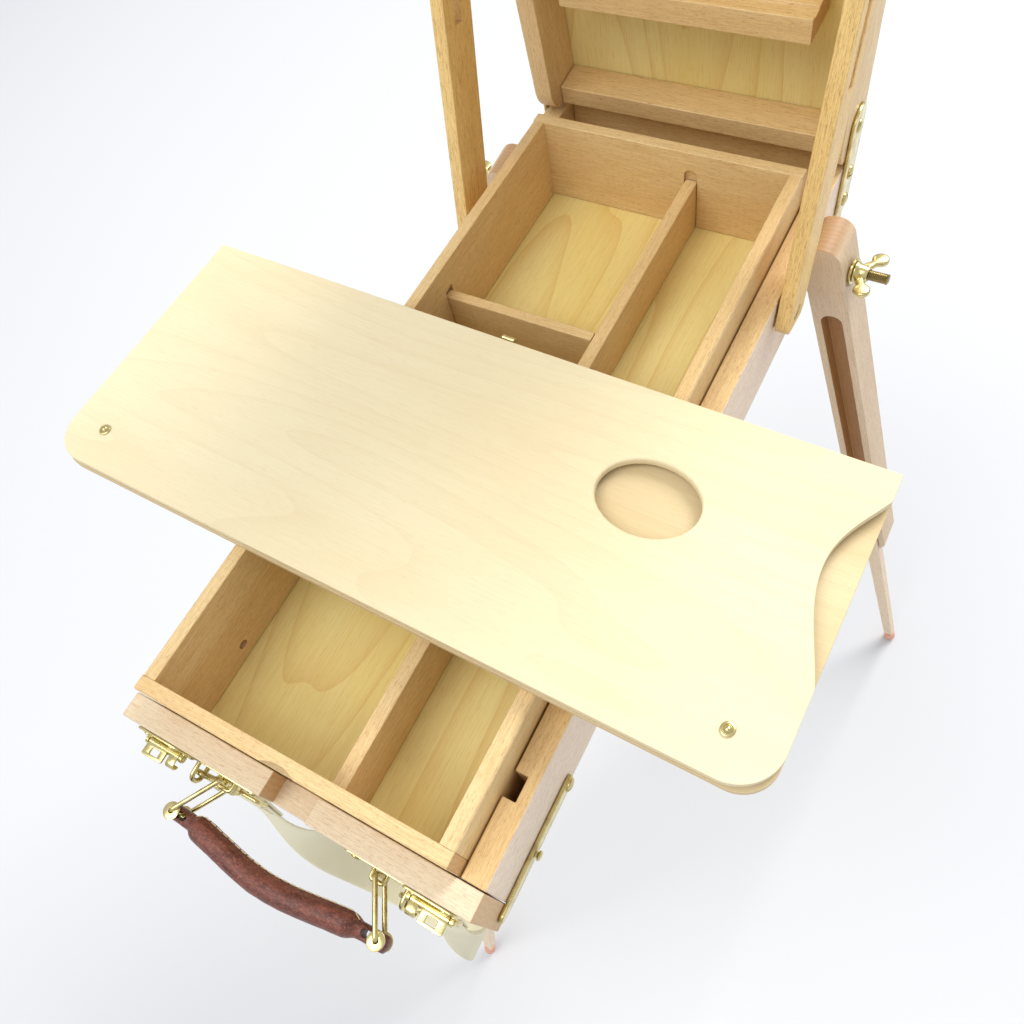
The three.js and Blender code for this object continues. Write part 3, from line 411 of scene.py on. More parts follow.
class Shader:
    """A Principled material whose colour, roughness and bump come from nodes."""

    def __init__(self, name, **fixed):
        self.material = bpy.data.materials.new(name)
        self.material.use_nodes = True
        self.tree = self.material.node_tree
        self.bsdf = self.tree.nodes["Principled BSDF"]
        for socket, value in fixed.items():
            self.bsdf.inputs[socket.replace("_", " ")].default_value = value
        self.coords = self.node("TexCoord").outputs

    def node(self, kind, inputs=(), **settings):
        """Adds a node; inputs maps its sockets to other sockets or to values."""
        new = self.tree.nodes.new("ShaderNode" + kind)
        for key, value in settings.items():
            setattr(new, key, value)
        for socket, value in dict(inputs).items():
            if isinstance(value, bpy.types.NodeSocket):
                self.tree.links.new(value, new.inputs[socket])
            else:
                new.inputs[socket].default_value = value
        return new

    def placed(self, turn=Matrix.Identity(3), source="Object", shift=(0, 0, 0)):
        """Coordinates in millimetres, in a frame turned by a matrix."""
        values = {0: self.coords[source], 1: shift, 2: turn.to_euler(), 3: (MM, MM, MM)}
        return self.node("Mapping", values, vector_type="TEXTURE").outputs[0]

    def scaled(self, vector, scale):
        """Multiplies a vector by three factors, one for each axis."""
        return self.node("VectorMath", {0: vector, 1: scale}, operation="MULTIPLY").outputs[0]

    def noise(self, vector, scale, detail=2.0, roughness=0.5, distortion=0.0):
        """Soft noise, from 0 to 1."""
        values = {"Vector": self.scaled(vector, scale), "Scale": 1.0, "Detail": detail,
                  "Roughness": roughness, "Distortion": distortion}
        return self.node("TexNoise", values).outputs[0]

    def cells(self, vector, scale):
        """The distance from the middle of the nearest cell."""
        values = {"Vector": self.scaled(vector, scale), "Scale": 1.0}
        return self.node("TexVoronoi", values, feature="F1").outputs["Distance"]

    def math(self, operation, a, b=0.0):
        """One step of arithmetic on one or two values."""
        return self.node("Math", {0: a, 1: b}, operation=operation).outputs[0]

    def level(self, value, low, high, to_low=0.0, to_high=1.0):
        """Maps a value from one range to another, and holds it there."""
        return self.node("MapRange", {0: value, 1: low, 2: high, 3: to_low, 4: to_high}).outputs[0]

    def mix(self, factor, a, b, blend="MIX"):
        """Mixes two colours."""
        values = {0: factor, 6: a, 7: b}
        return self.node("Mix", values, data_type="RGBA", blend_type=blend).outputs[2]

    def tinted(self, color, other, by, low, high, most):
        """Mixes in another colour, up to a share of most, as the value by goes from low to high."""
        return self.mix(self.level(by, low, high, 0.0, most), color, other)

    def part(self, vector, index):
        """One of a vector's three parts."""
        return self.node("SeparateXYZ", {0: vector}).outputs[index]

    def facing(self, direction):
        """How squarely a face looks along a direction of the piece, from 0 to 1."""
        dot = self.node("VectorMath", {0: self.coords["Normal"], 1: direction}, operation="DOT_PRODUCT")
        return self.math("ABSOLUTE", dot.outputs["Value"])

    def done(self, color, roughness, height=None, depth=0.1, strength=0.5):
        """Plugs in the colour, the roughness and a bump whose depth is in millimetres."""
        self.tree.links.new(color, self.bsdf.inputs["Base Color"])
        self.tree.links.new(roughness, self.bsdf.inputs["Roughness"])
        if height is not None:
            bump = self.node("Bump", {"Height": height, "Distance": depth * MM, "Strength": strength})
            self.tree.links.new(bump.outputs[0], self.bsdf.inputs["Normal"])
        return self.material


def grain_turn(grain, face):
    """The turn that lays X along the grain and Z along the board's broad face."""
    grain = Vector(grain).normalized()
    face = (Vector(face) - grain * Vector(face).dot(grain)).normalized()
    return Matrix((grain, face.cross(grain), face)).transposed()


# ---------- materials ----------
# the bounds of a leg's slot, inside which shade is painted
LEG_SLOT = {"half": 6.6, "face": -12.4, "floor": -3, "top": -29}  # in a leg's own axes


def beech(name, grain, face, light, dark, fleck, end, side_light=None, slot_shade_axes=None):
    """Steamed beech: soft growth streaks, fine fibres, short dark ray flecks and denser end grain.
    Given paler side tones, the outer faces of the box sides take them: painted light, as it falls
    on those sides. Given a leg's axes, the wood in its slot is painted browner: painted shade in the
    slot."""
    s = Shader(name)
    p = s.placed(grain_turn(grain, face))
    broad = s.noise(p, (0.004, 0.045, 0.03), 2.0)
    field = s.noise(p, (0.0035, 0.05, 0.09), 1.0, 0.4, 0.3)
    rings = s.math("SINE", s.math("MULTIPLY", field, 120.0))
    fibre = s.noise(p, (0.06, 1.9, 1.9), 4.0, 0.65)
    dashes = s.noise(p, (0.24, 3.0, 3.0), 1.0)
    ticks = s.noise(p, (0.8, 4.6, 4.6), 1.0)
    flecks = s.math("MAXIMUM", s.level(dashes, 0.6, 0.68), s.level(ticks, 0.62, 0.7, 0.0, 0.7))

    color = s.mix(s.level(broad, 0.3, 0.7), light, dark)
    color = s.tinted(color, dark, rings, -0.2, 1.0, 0.5)
    color = s.tinted(color, fleck, fibre, 0.4, 0.7, 0.38)
    # painted light: the outer faces of the box sides take a paler tone, as if lit from the side
    if side_light:
        out = s.math("MULTIPLY", s.part(s.coords["Normal"], 0), s.part(s.coords["Object"], 0))
        outer = s.math("GREATER_THAN", out, 0.6 * BOX_FACE * MM)
        pale = s.mix(s.level(fibre, 0.3, 0.8), side_light[0], side_light[1])
        color = s.mix(outer, color, pale)
    color = s.mix(s.math("MULTIPLY", flecks, 0.6), color, fleck)

    pores = s.noise(p, (0.3, 3.4, 3.4), 2.0)
    ends = s.level(s.facing(grain), 0.5, 0.8)
    waver = s.noise(p, (0.1, 0.12, 0.12), 2.0)
    layers = s.math("MULTIPLY", s.part(p, 2), 2.2)
    growth = s.math("SINE", s.math("ADD", layers, s.math("MULTIPLY", waver, 14.0)))
    end_color = s.mix(s.level(growth, -0.6, 1.0, 0.1, 0.5), *end)
    end_color = s.tinted(end_color, fleck, pores, 0.42, 0.68, 0.75)
    color = s.mix(ends, color, end_color)
    # painted shade: the wood inside a leg's slot is darkened to a browner tone
    if slot_shade_axes:
        q = s.placed(slot_shade_axes.to_3x3(), shift=slot_shade_axes.translation)
        slot_shade = s.math("LESS_THAN", s.math("ABSOLUTE", s.part(q, 0)), LEG_SLOT["half"])
        bounds = (("GREATER_THAN", 1, LEG_SLOT["face"]), ("LESS_THAN", 1, LEG_SLOT["floor"]),
                  ("LESS_THAN", 2, LEG_SLOT["top"]))
        for operation, axis, limit in bounds:
            slot_shade = s.math("MULTIPLY", slot_shade, s.math(operation, s.part(q, axis), limit))
        color = s.mix(slot_shade, color, shade(212, 176, 126), "MULTIPLY")

    height = s.math("SUBTRACT", s.math("MULTIPLY", fibre, 0.5), s.math("MULTIPLY", flecks, 0.6))
    return s.done(color, s.level(fibre, 0.3, 0.8, 0.4, 0.56), height, 0.14, 0.4)


PLY_THICK = 4


def veneer(name, grain, face, light, dark, streak, lines, base, contrast):
    """Rotary-cut plywood: long nested loops of growth lines on the face, and three plies at the
    edge, which are counted from base, in metres up."""
    s = Shader(name, Specular_IOR_Level=0.25)
    p = s.placed(grain_turn(grain, face))
    broad = s.noise(p, (0.006, 0.02, 0.02), 2.0)
    field = s.noise(p, (0.0017, 0.0105, 0.004), 1.2, 0.4, 0.1)
    loops = s.math("FRACT", s.math("MULTIPLY", field, lines))
    band = s.math("POWER", loops, 5.0)
    fibre = s.noise(p, (0.03, 1.5, 1.5), 4.0, 0.65)
    dashes = s.noise(p, (0.14, 2.4, 2.4), 1.0)

    color = s.mix(s.level(broad, 0.35, 0.65), light, dark)
    color = s.tinted(color, streak, band, 0.0, 1.0, contrast)
    color = s.tinted(color, streak, fibre, 0.4, 0.72, 0.08 + contrast * 0.5)
    color = s.tinted(color, streak, dashes, 0.6, 0.7, 0.08 + contrast * 0.6)

    depth = s.math("SUBTRACT", s.part(s.coords["Object"], 2), base)
    plies = s.math("PINGPONG", s.math("DIVIDE", depth, PLY_THICK / 3 * MM), 1.0)
    inner = s.level(plies, 0.42, 0.58)
    edge_color = s.mix(s.math("MULTIPLY", inner, contrast), dark, streak)
    edge_color = s.tinted(edge_color, light, fibre, 0.3, 0.8, 0.5)
    edge = s.level(s.facing(face), 0.45, 0.25)
    color = s.mix(edge, color, edge_color)
    return s.done(color, s.level(fibre, 0.3, 0.8, 0.5, 0.65), fibre, 0.05, 0.3)


def brass(name, base, wear_and_reflection_tone, low=0.16, high=0.34):
    """Polished brass with a faint cast-and-tumbled unevenness and duller patches, partly wear and partly
    painted dark reflections.
    """
    s = Shader(name, Metallic=1.0)
    p = s.placed()
    patches = s.noise(p, (0.16, 0.16, 0.16), 3.0, 0.6)
    fine = s.noise(p, (1.6, 1.6, 1.6), 3.0, 0.6)
    # the duller tone is partly wear and partly painted dark reflections
    color = s.tinted(base, wear_and_reflection_tone, patches, 0.42, 0.72, 0.75)
    color = s.tinted(color, wear_and_reflection_tone, fine, 0.6, 0.8, 0.3)
    return s.done(color, s.level(patches, 0.3, 0.75, low, high), fine, 0.03, 0.35)


def leather():
    """Mottled reddish-brown leather with a fine pebbled grain and paler blotches that are painted
    highlights.
    """
    s = Shader("leather")
    p = s.placed()
    mottle = s.noise(p, (0.16, 0.3, 0.3), 4.0, 0.65)
    blotch = s.noise(p, (0.5, 0.9, 0.9), 3.0, 0.6)
    pebbles = s.cells(p, (1.1, 1.5, 1.5))
    creases = s.noise(p, (2.2, 0.5, 0.5), 3.0, 0.6)
    color = s.mix(s.level(mottle, 0.35, 0.65), shade(87, 42, 32), shade(135, 74, 57))
    # painted highlights: paler pinkish blotches at random spots
    color = s.tinted(color, shade(167, 106, 87), blotch, 0.5, 0.72, 0.6)
    color = s.tinted(color, shade(61, 27, 21), pebbles, 0.35, 0.75, 0.5)
    height = s.math("SUBTRACT", s.math("MULTIPLY", creases, 0.5), pebbles)
    return s.done(color, s.level(mottle, 0.3, 0.7, 0.36, 0.55), height, 0.25, 0.6)


def webbing():
    """Cream cotton webbing: a plain weave that follows the band, with slight soiling."""
    s = Shader("webbing", Sheen_Weight=0.25, Sheen_Roughness=0.5)
    band = s.placed(source="UV")
    u, v = s.part(band, 0), s.part(band, 1)
    warp = s.math("SINE", s.math("MULTIPLY", u, math.tau / 1.5))
    weft = s.math("SINE", s.math("MULTIPLY", v, math.tau / 1.1))
    weave = s.math("MULTIPLY", warp, weft)
    fuzz = s.noise(s.placed(), (1.5, 1.5, 1.5), 3.0, 0.7)
    stain = s.noise(s.placed(), (0.03, 0.03, 0.03), 2.0)
    color = s.mix(s.level(weave, -1.0, 1.0), shade(236, 227, 188), shade(248, 242, 214))
    color = s.tinted(color, shade(231, 221, 180), stain, 0.4, 0.75, 0.5)
    color = s.tinted(color, shade(218, 206, 162), fuzz, 0.55, 0.8, 0.4)
    height = s.math("ADD", weave, fuzz)
    return s.done(color, s.level(fuzz, 0.3, 0.8, 0.75, 0.95), height, 0.25, 0.7)


def thread():
    """Twisted waxed thread."""
    s = Shader("thread")
    twist = s.noise(s.placed(), (3.0, 6.0, 3.0), 2.0)
    color = s.mix(s.level(twist, 0.3, 0.7), shade(186, 167, 122), shade(224, 213, 177))
    return s.done(color, s.level(twist, 0.3, 0.7, 0.6, 0.8), twist, 0.1, 0.5)


def rubber():
    """Soft orange-pink rubber with a dusty, scuffed surface."""
    s = Shader("rubber")
    p = s.placed()
    dust = s.noise(p, (0.4, 0.4, 0.4), 4.0, 0.6)
    fine = s.noise(p, (2.5, 2.5, 2.5), 2.0)
    color = s.mix(s.level(dust, 0.35, 0.7), shade(222, 156, 130), shade(232, 186, 164))
    color = s.tinted(color, shade(196, 103, 74), fine, 0.6, 0.8, 0.4)
    return s.done(color, s.level(dust, 0.3, 0.7, 0.6, 0.8), fine, 0.06, 0.4)


def floor_paint():
    """A plain pale studio floor."""
    s = Shader("studio_floor")
    haze = s.noise(s.placed(), (0.0006, 0.0006, 0.0006), 1.0)
    color = s.mix(s.level(haze, 0.3, 0.7), shade(209, 211, 215), shade(214, 215, 218))
    return s.done(color, s.level(haze, 0.3, 0.7, 0.8, 0.9))


WARM = (shade(234, 208, 155), shade(224, 190, 132), shade(175, 127, 74))
WARM_END = (shade(215, 177, 124), shade(194, 150, 97))
GOLDEN = (shade(248, 217, 146), shade(234, 195, 121), shade(162, 112, 58))
PANEL = (shade(234, 218, 190), shade(226, 206, 173), shade(196, 160, 118))
PALE = (shade(224, 201, 170), shade(211, 185, 151), shade(174, 141, 107))
SHANK = (shade(243, 225, 198), shade(231, 208, 176), shade(192, 158, 124))
END = (shade(186, 146, 100), shade(160, 116, 72))
# paler tones painted on the box sides' outer faces as painted light
SIDE_LIGHT_TONES = (shade(243, 223, 200), shade(228, 204, 176))
PLY = (shade(238, 223, 155), shade(235, 215, 138), shade(207, 158, 78))
# the lower leaf's tones are darker than the upper leaf's: painted shade from the upper leaf above it
SHADED_LOWER_LEAF = (shade(222, 205, 165), shade(214, 192, 148), shade(184, 147, 96))
UPPER_LEAF = (shade(231, 220, 185), shade(228, 213, 175), shade(200, 165, 116))


# ---------- soft pieces ----------
# The left half of the strap's route, from its hook to just before the lowest point: how far out
# it lies, how far it stands forward of the hooks, and its height, in metres.
STRAP_ROUTE = [
    (0.060, 0.0002, -0.1054),
    (0.060, 0.0025, -0.128),
    (0.0595, 0.006, -0.165),
    (0.058, 0.009, -0.205),
    (0.0555, 0.0112, -0.246),
    (0.051, 0.012, -0.282),
    (0.043, 0.012, -0.308),
    (0.025, 0.0115, -0.325),
]
STRAP_BOTTOM = (0, 0.011, -0.332)
STRAP_TWIST = (0.12, 0.62)  # where each half turns, as shares of its length
STRAP_STEPS = 260
SELVEDGE = 2.5  # the thicker edge of the webbing
RIB_PITCH, RIB_HIGH = 2, 0.04  # the fine ribs between the selvedges


def strap_point(side, spot):
    """A point of the strap's route, on the left or right half."""
    across, out, height = (v / MM for v in spot)
    return at(side * across, HOOK_Y - out, height)


def curve_through(points, count):
    """Points at even steps on a smooth curve through a list of points."""
    ends = [points[0] * 2 - points[1], *points, points[-1] * 2 - points[-2]]
    fine = []
    for a, b, c, d in zip(ends, ends[1:], ends[2:], ends[3:]):
        for k in range(24):
            t = k / 24
            fine.append(0.5 * (2 * b + (c - a) * t + (2 * a - 5 * b + 4 * c - d) * t * t
                               + (3 * b - a - 3 * c + d) * t ** 3))
    fine.append(points[-1])
    lengths = [0.0]
    for p, q in zip(fine, fine[1:]):
        lengths.append(lengths[-1] + (q - p).length)
    even = []
    j = 0
    for k in range(count + 1):
        wanted = lengths[-1] * k / count
        while j < len(fine) - 2 and lengths[j + 1] < wanted:
            j += 1
        share = (wanted - lengths[j]) / (lengths[j + 1] - lengths[j])
        even.append(fine[j].lerp(fine[j + 1], min(1.0, share)))
    return even, lengths[-1]


def smoothstep(value, low, high):
    """Rises smoothly from 0 to 1 while the value goes from low to high."""
    t = min(1.0, max(0.0, (value - low) / (high - low)))
    return t * t * (3 - 2 * t)


def band_section():
    """Half of the band's section, from edge to edge: fine ribs and slightly thicker selvedges."""
    half = STRAP_WIDE / 2
    count = 24
    rounding, thinnest, ribbed_from = 0.5, 0.25, 1
    points = []
    for k in range(count + 1):
        w = -half + STRAP_WIDE * k / count
        from_edge = half - abs(w)
        thick = STRAP_THICK / 2
        if from_edge > SELVEDGE:
            thick *= 0.9
        if from_edge < rounding:
            thick *= math.sqrt(from_edge / rounding)
        if from_edge > ribbed_from:
            thick += RIB_HIGH * math.cos(math.tau * w / RIB_PITCH)
        points.append((w, max(thinnest, thick)))
    return points


def swept(path, section, across):
    """Rings of one section along a path, where across says which way the section's width points."""
    rings = []
    for i, p in enumerate(path):
        along = (path[min(i + 1, len(path) - 1)] - path[max(i - 1, 0)]).normalized()
        wide = across(i, along)
        wide = (wide - along * wide.dot(along)).normalized()
        flat = along.cross(wide)
        rings.append([p + (wide * w + flat * t) * MM for w, t in section])
    return rings


def band(bm, path, across):
    """A flat band along a path, with its weave's coordinates along and across it."""
    upper = band_section()
    section = [*upper, *[(w, -t) for w, t in reversed(upper)]]
    first = len(bm.verts)
    loft(bm, swept(path, section, across))
    bm.verts.ensure_lookup_table()
    weave = bm.loops.layers.uv.verify()
    step = (path[1] - path[0]).length
    where = {}
    for i in range(len(path)):
        for k, (w, _) in enumerate(section):
            where[bm.verts[first + i * len(section) + k]] = (w * MM, i * step)
    for face in bm.faces:
        for loop in face.loops:
            if loop.vert in where:
                loop[weave].uv = where[loop.vert]


def strap(cloth):
    """The carrying strap: one band that hangs in a loop and turns on its way down."""
    spots = [strap_point(-1, s) for s in STRAP_ROUTE]
    spots.append(strap_point(1, STRAP_BOTTOM))
    spots += [strap_point(1, s) for s in reversed(STRAP_ROUTE)]
    path, length = curve_through(spots, STRAP_STEPS)

    def across(i, along):
        """The way the band's width points: sideways at its ends, forwards after its turn."""
        from_end = 1 - abs(2 * i / STRAP_STEPS - 1)
        turned = smoothstep(from_end, *STRAP_TWIST) * math.pi / 2
        sideways = Y.cross(along).normalized() * math.copysign(1, along.z)
        if turned > math.pi / 2 - 1e-6:
            sideways = Vector()
        return sideways * math.cos(turned) + Y * math.sin(turned)

    bm = bmesh.new()
    band(bm, path, across)
    piece = made("carrying_strap", bm, cloth, "webbing", "drawer", "strap")
    folds = [strap_fold(word, side, cloth) for word, side in SIDES]
    stitches = [strap_stitches(word, side) for word, side in SIDES]


def strap_fold(word, side, cloth):
    """The end of the strap: it goes round the bar of the hook's flat loop and back down behind."""
    x, y, z = side * HOOK_X, HOOK_Y, HOOK_LOOP_Z
    round_bar = 2.1  # from the middle of the bar to the middle of the webbing
    turn = [at(x, y - round_bar * math.cos(a), z + round_bar * math.sin(a))
            for a in (math.radians(d) for d in range(0, 181, 30))]
    path = [at(x, y - 0.4, z - 6), at(x, y - 1.5, z - 3), *turn, at(x, y + 1.7, z - 4),
            at(x, y + 1.1, z - 9), at(x, y - 0.1, z - 18), at(x, y - 1.2, z - 27)]
    even, _ = curve_through(path, 60)
    bm = bmesh.new()
    band(bm, even, lambda i, along: X)
    return made(f"strap_fold_{word}", bm, cloth, "webbing", "drawer")


def strap_front(z):
    """How far forward the strap's front face lies at a height near its top, where it runs straight."""
    (_, out_a, z_a), (_, out_b, z_b) = STRAP_ROUTE[:2]
    lean = (out_b - out_a) / (z_a - z_b)
    return HOOK_Y - out_a / MM - lean * (z_a / MM - z) - 0.85


def strap_stitches(word, side):
    """A crossed box of stitches that holds the folded end."""
    bm = bmesh.new()
    x0, z0 = side * HOOK_X, HOOK_LOOP_Z - 10
    half, tall, pitch, radius = 8.5, 13, 2.4, 0.28
    runs = [((-half, 0), (half, 0)), ((-half, -tall), (half, -tall)), ((-half, 0), (-half, -tall)),
            ((half, 0), (half, -tall)), ((-half, 0), (half, -tall))]
    for (xa, za), (xb, zb) in runs:
        count = round(math.hypot(xb - xa, zb - za) / pitch)
        for k in range(count):
            ends = []
            for t in ((k + 0.15) / count, (k + 0.85) / count):
                z = z0 + za + (zb - za) * t
                ends.append(at(x0 + xa + (xb - xa) * t, strap_front(z), z))
            wire(bm, ends, radius, sides=6)
    return made(f"strap_stitches_{word}", bm, THREAD, "webbing", "drawer")


GRIP_HALF, GRIP_TALL, GRIP_DEEP = 62.5, 9, 5.6  # half its length, height and depth
GRIP_ARCH = 6  # how far its middle stands forward
TONGUE_TALL, TONGUE_DEEP = 5.0, 3.6  # half the height and depth of its flat ends
NECK = (42, 48)  # where the body narrows to the ends
SEAM_Z = 3.4  # the sewn seam's height above the middle of the back
STITCH_PITCH = 4.1


def grip_shape(x):
    """The grip's half height, half depth and forward arch at a distance from its middle."""
    far = abs(x)
    body = 1 - smoothstep(far, *NECK)
    tall = TONGUE_TALL + (GRIP_TALL - TONGUE_TALL) * body
    deep = TONGUE_DEEP + (GRIP_DEEP - TONGUE_DEEP) * body
    tall *= 1 - 0.06 * smoothstep(far, 0, 45)
    past_corner = far - (GRIP_HALF - 3)
    past_edge = far - (GRIP_HALF - 1.5)
    if past_corner > 0:
        tall *= math.sqrt(max(0.3, 1 - (past_corner / 3.4) ** 2))
    if past_edge > 0:
        deep *= math.sqrt(max(0.1, 1 - (past_edge / 1.5) ** 2))
    arch = GRIP_ARCH * (1 - smoothstep(far, 0, 57))
    return tall, deep, arch


def grip(skin):
    """The leather handle: a stuffed, wrapped core with a sewn seam at its back and flat slotted ends."""
    bm = bmesh.new()
    centre_y = BAR_Y - LOOP_OUT
    steps, sides, squareness = 125, 44, 0.85
    rings = []
    for i in range(steps + 1):
        x = -GRIP_HALF + 2 * GRIP_HALF * i / steps
        tall, deep, arch = grip_shape(x)
        ring = []
        for k in range(sides):
            a = math.tau * k / sides
            c, s = math.cos(a), math.sin(a)
            z = tall * math.copysign(abs(s) ** squareness, s)
            y = deep * math.copysign(abs(c) ** squareness, c)
            point = Vector((x, y, z))
            lump = noise.noise(point * 0.22) * 0.22 + noise.noise(point * 0.7) * 0.1
            seam = 0.7 * math.exp(-((z - SEAM_Z) / 1.1) ** 2) if y > 0 and abs(x) < 50 else 0
            swell = 1 + lump / max(tall, 1) * (1 if abs(x) < 52 else 0.3)
            ring.append(at(x, centre_y - arch + y * swell + seam, PLATE_Z + z * swell))
        rings.append(ring)
    loft(bm, rings)
    bmesh.ops.recalc_face_normals(bm, faces=bm.faces)
    piece = made("leather_grip", bm, skin, "leather", "handle_grip", "handle_grip", angle=60)
    slots = bmesh.new()
    half_wide, travel, cutter = 1.7, 6.5, 24
    bar = BAR_X + LOOP_REACH
    for side in (-1, 1):
        outline = rounded_box(bar - half_wide - travel, bar + half_wide, -half_wide, half_wide, 1.69)
        outline = [(side * x, y) for x, y in outline]
        plate(slots, [outline], cutter, axes(X, Y, Z, at(0, centre_y, PLATE_Z)), 0.01)
    carve(piece, slots)
    piece.data.shade_smooth()
    piece.data.set_sharp_from_angle(angle=math.radians(60))

    seam = bmesh.new()
    for k in range(-11, 12):
        x = k * STITCH_PITCH
        ends = [grip_seam_point(x - 1.3, centre_y), grip_seam_point(x + 1.3, centre_y)]
        wire(seam, ends, 0.33, sides=6)
    made("grip_stitches", seam, THREAD, "leather", "handle_grip")


def grip_seam_point(x, centre_y):
    """A point on the crest of the seam at the back of the grip."""
    tall, deep, arch = grip_shape(x)
    out = deep * (1 - (SEAM_Z / tall) ** 2) ** 0.5 + 0.85
    return at(x, centre_y - arch + out, PLATE_Z + SEAM_Z)


def carve(piece, tool):
    """Cuts a tool's solid out of a piece."""
    bmesh.ops.recalc_face_normals(tool, faces=tool.faces)
    mesh = bpy.data.meshes.new("tool")
    tool.to_mesh(mesh)
    tool.free()
    cutter = bpy.data.objects.new("tool", mesh)
    bpy.context.scene.collection.objects.link(cutter)
    cut = piece.modifiers.new("cut", "BOOLEAN")
    cut.object = cutter
    cut.solver = "EXACT"
    bpy.context.view_layer.update()
    result = bpy.data.meshes.new_from_object(piece.evaluated_get(bpy.context.evaluated_depsgraph_get()))
    piece.modifiers.clear()
    piece.data = result
    bpy.data.objects.remove(cutter)
    bpy.data.meshes.remove(mesh)


# ---------- brass on the front panel ----------
def handle_plates():
    """A plate on each side with a staple for the handle's loop and an eye for the snap hook."""
    near, far, half, thick = 25, 74, 6.6, 1.3
    foot = FACE - 0.4
    staple_half, staple_y = 3.6, FACE - 5.8
    eye_half, eye_y = 4.4, FACE - 9.4
    for word, side in SIDES:
        bm = bmesh.new()
        low, high = sorted((side * near, side * far))
        place = axes(X, Z, -Y, at(0, FACE - thick / 2, 0))
        plate(bm, [rounded_box(low, high, PLATE_Z - half, PLATE_Z + half, 2.5)], thick, place, 0.35)
        x = side * BAR_X
        staple = [at(x - staple_half, foot, PLATE_Z), at(x - staple_half, staple_y, PLATE_Z),
                  at(x + staple_half, staple_y, PLATE_Z), at(x + staple_half, foot, PLATE_Z)]
        wire(bm, bent(staple, 1.8), 1.1)
        x = side * HOOK_X
        eye = [at(x, foot, PLATE_Z + eye_half + 0.6), at(x, eye_y, PLATE_Z + eye_half),
               at(x, eye_y, PLATE_Z - eye_half), at(x, foot, PLATE_Z - eye_half - 0.6)]
        wire(bm, bent(eye, 4), 1.2)
        for x, turn in ((near + 5, 0.4), (far - 5, 1.3)):
            screw(bm, at(side * x, FACE - thick, PLATE_Z), -Y, 2.6, 1.3, turn, 0.6)
        brass_piece(bm, f"handle_plate_{word}", "drawer")


def handle_loops():
    """Bent wire loops that carry the grip, each with an eyelet above and below the leather."""
    low, high = PLATE_Z - 7, PLATE_Z + 7
    eyelet = [(0, 1.4), (0, 3.6), (0.25, 4.1), (0.7, 4.1), (0.95, 3.5), (0.95, 1.4)]
    eyelet_z = 5.35
    for word, side in SIDES:
        bm = bmesh.new()
        inner = (side * BAR_X, BAR_Y)
        outer = (side * (BAR_X + LOOP_REACH), BAR_Y - LOOP_OUT)
        corners = [at(*inner, low), at(*inner, high), at(*outer, high), at(*outer, low)]
        wire(bm, bent(corners, 2.2, closed=True), 1.2, closed=True)
        for up in (-1, 1):
            lathe(bm, eyelet, at(*outer, PLATE_Z + up * eyelet_z), Z * up, 28, closed=True)
        brass_piece(bm, f"handle_loop_{word}")


def snap_hooks():
    """A sprung hook, its gate, a swivel and the flat loop that holds the strap."""
    y, top = HOOK_Y, PLATE_Z + 0.4
    bow = [(-4.4, -9), (-4.2, -2.8), (-1.8, 0), (1.8, 0), (4.2, -2.8), (4.4, -9), (3, -24)]
    nub = [(0, 0), (0, 1.0), (0.4, 1.3), (1.6, 1.3), (2, 0.9), (2, 0)]
    shank = [(0, 0), (0, 3.1), (0.8, 3.9), (3, 4.2), (8.5, 4.0), (9.4, 3.3), (10.2, 3.3), (11.2, 2.4)]
    swivel = [(11.4, 1.9), (13, 1.9), (14, 2.8), (15.2, 3.5), (16.4, 3.7), (17.6, 3.5), (18.8, 2.8),
              (19.6, 1.9), (21.4, 1.8), (21.4, 0)]
    collar = [(0, 1.3), (0, 2.2), (0.5, 2.6), (3.5, 2.6), (4, 2.2), (4, 1.3)]
    loop_top, loop_half = top - 42, STRAP_WIDE / 2 + 2
    for word, side in SIDES:
        bm = bmesh.new()
        x = side * HOOK_X
        wire(bm, bent([at(x + side * dx, y, top + dz) for dx, dz in bow], 3), 1.25)
        start = at(x - side * 4.4, y, top - 9.4)
        gate = at(x - side * 2.6, y, top - 22.5) - start
        lathe(bm, rod_profile(0, gate.length / MM, 1.3, 1), start, gate, 16)
        lathe(bm, nub, at(x - side * 3.6, y, top - 15), -Y, 14)
        lathe(bm, [*shank, *swivel], at(x, y, top - 21.4), -Z, 28)
        loop = [at(x - loop_half, y, loop_top), at(x + loop_half, y, loop_top),
                at(x + loop_half, y, HOOK_LOOP_Z), at(x - loop_half, y, HOOK_LOOP_Z)]
        wire(bm, bent(loop, 2.5, closed=True), 1.2, closed=True)
        lathe(bm, collar, at(x - 2, y, loop_top), X, 20, closed=True)
        brass_piece(bm, f"snap_hook_{word}", "drawer")


CATCH_Y, CATCH_Z = FACE - 3.3, -37  # the catches' hinge pin
CATCH_NEAR, CATCH_FAR = 62, 87  # the catches' plates, across and in height
CATCH_LOW, CATCH_HIGH = -41.5, -25.5
CATCH_THICK = 1.2


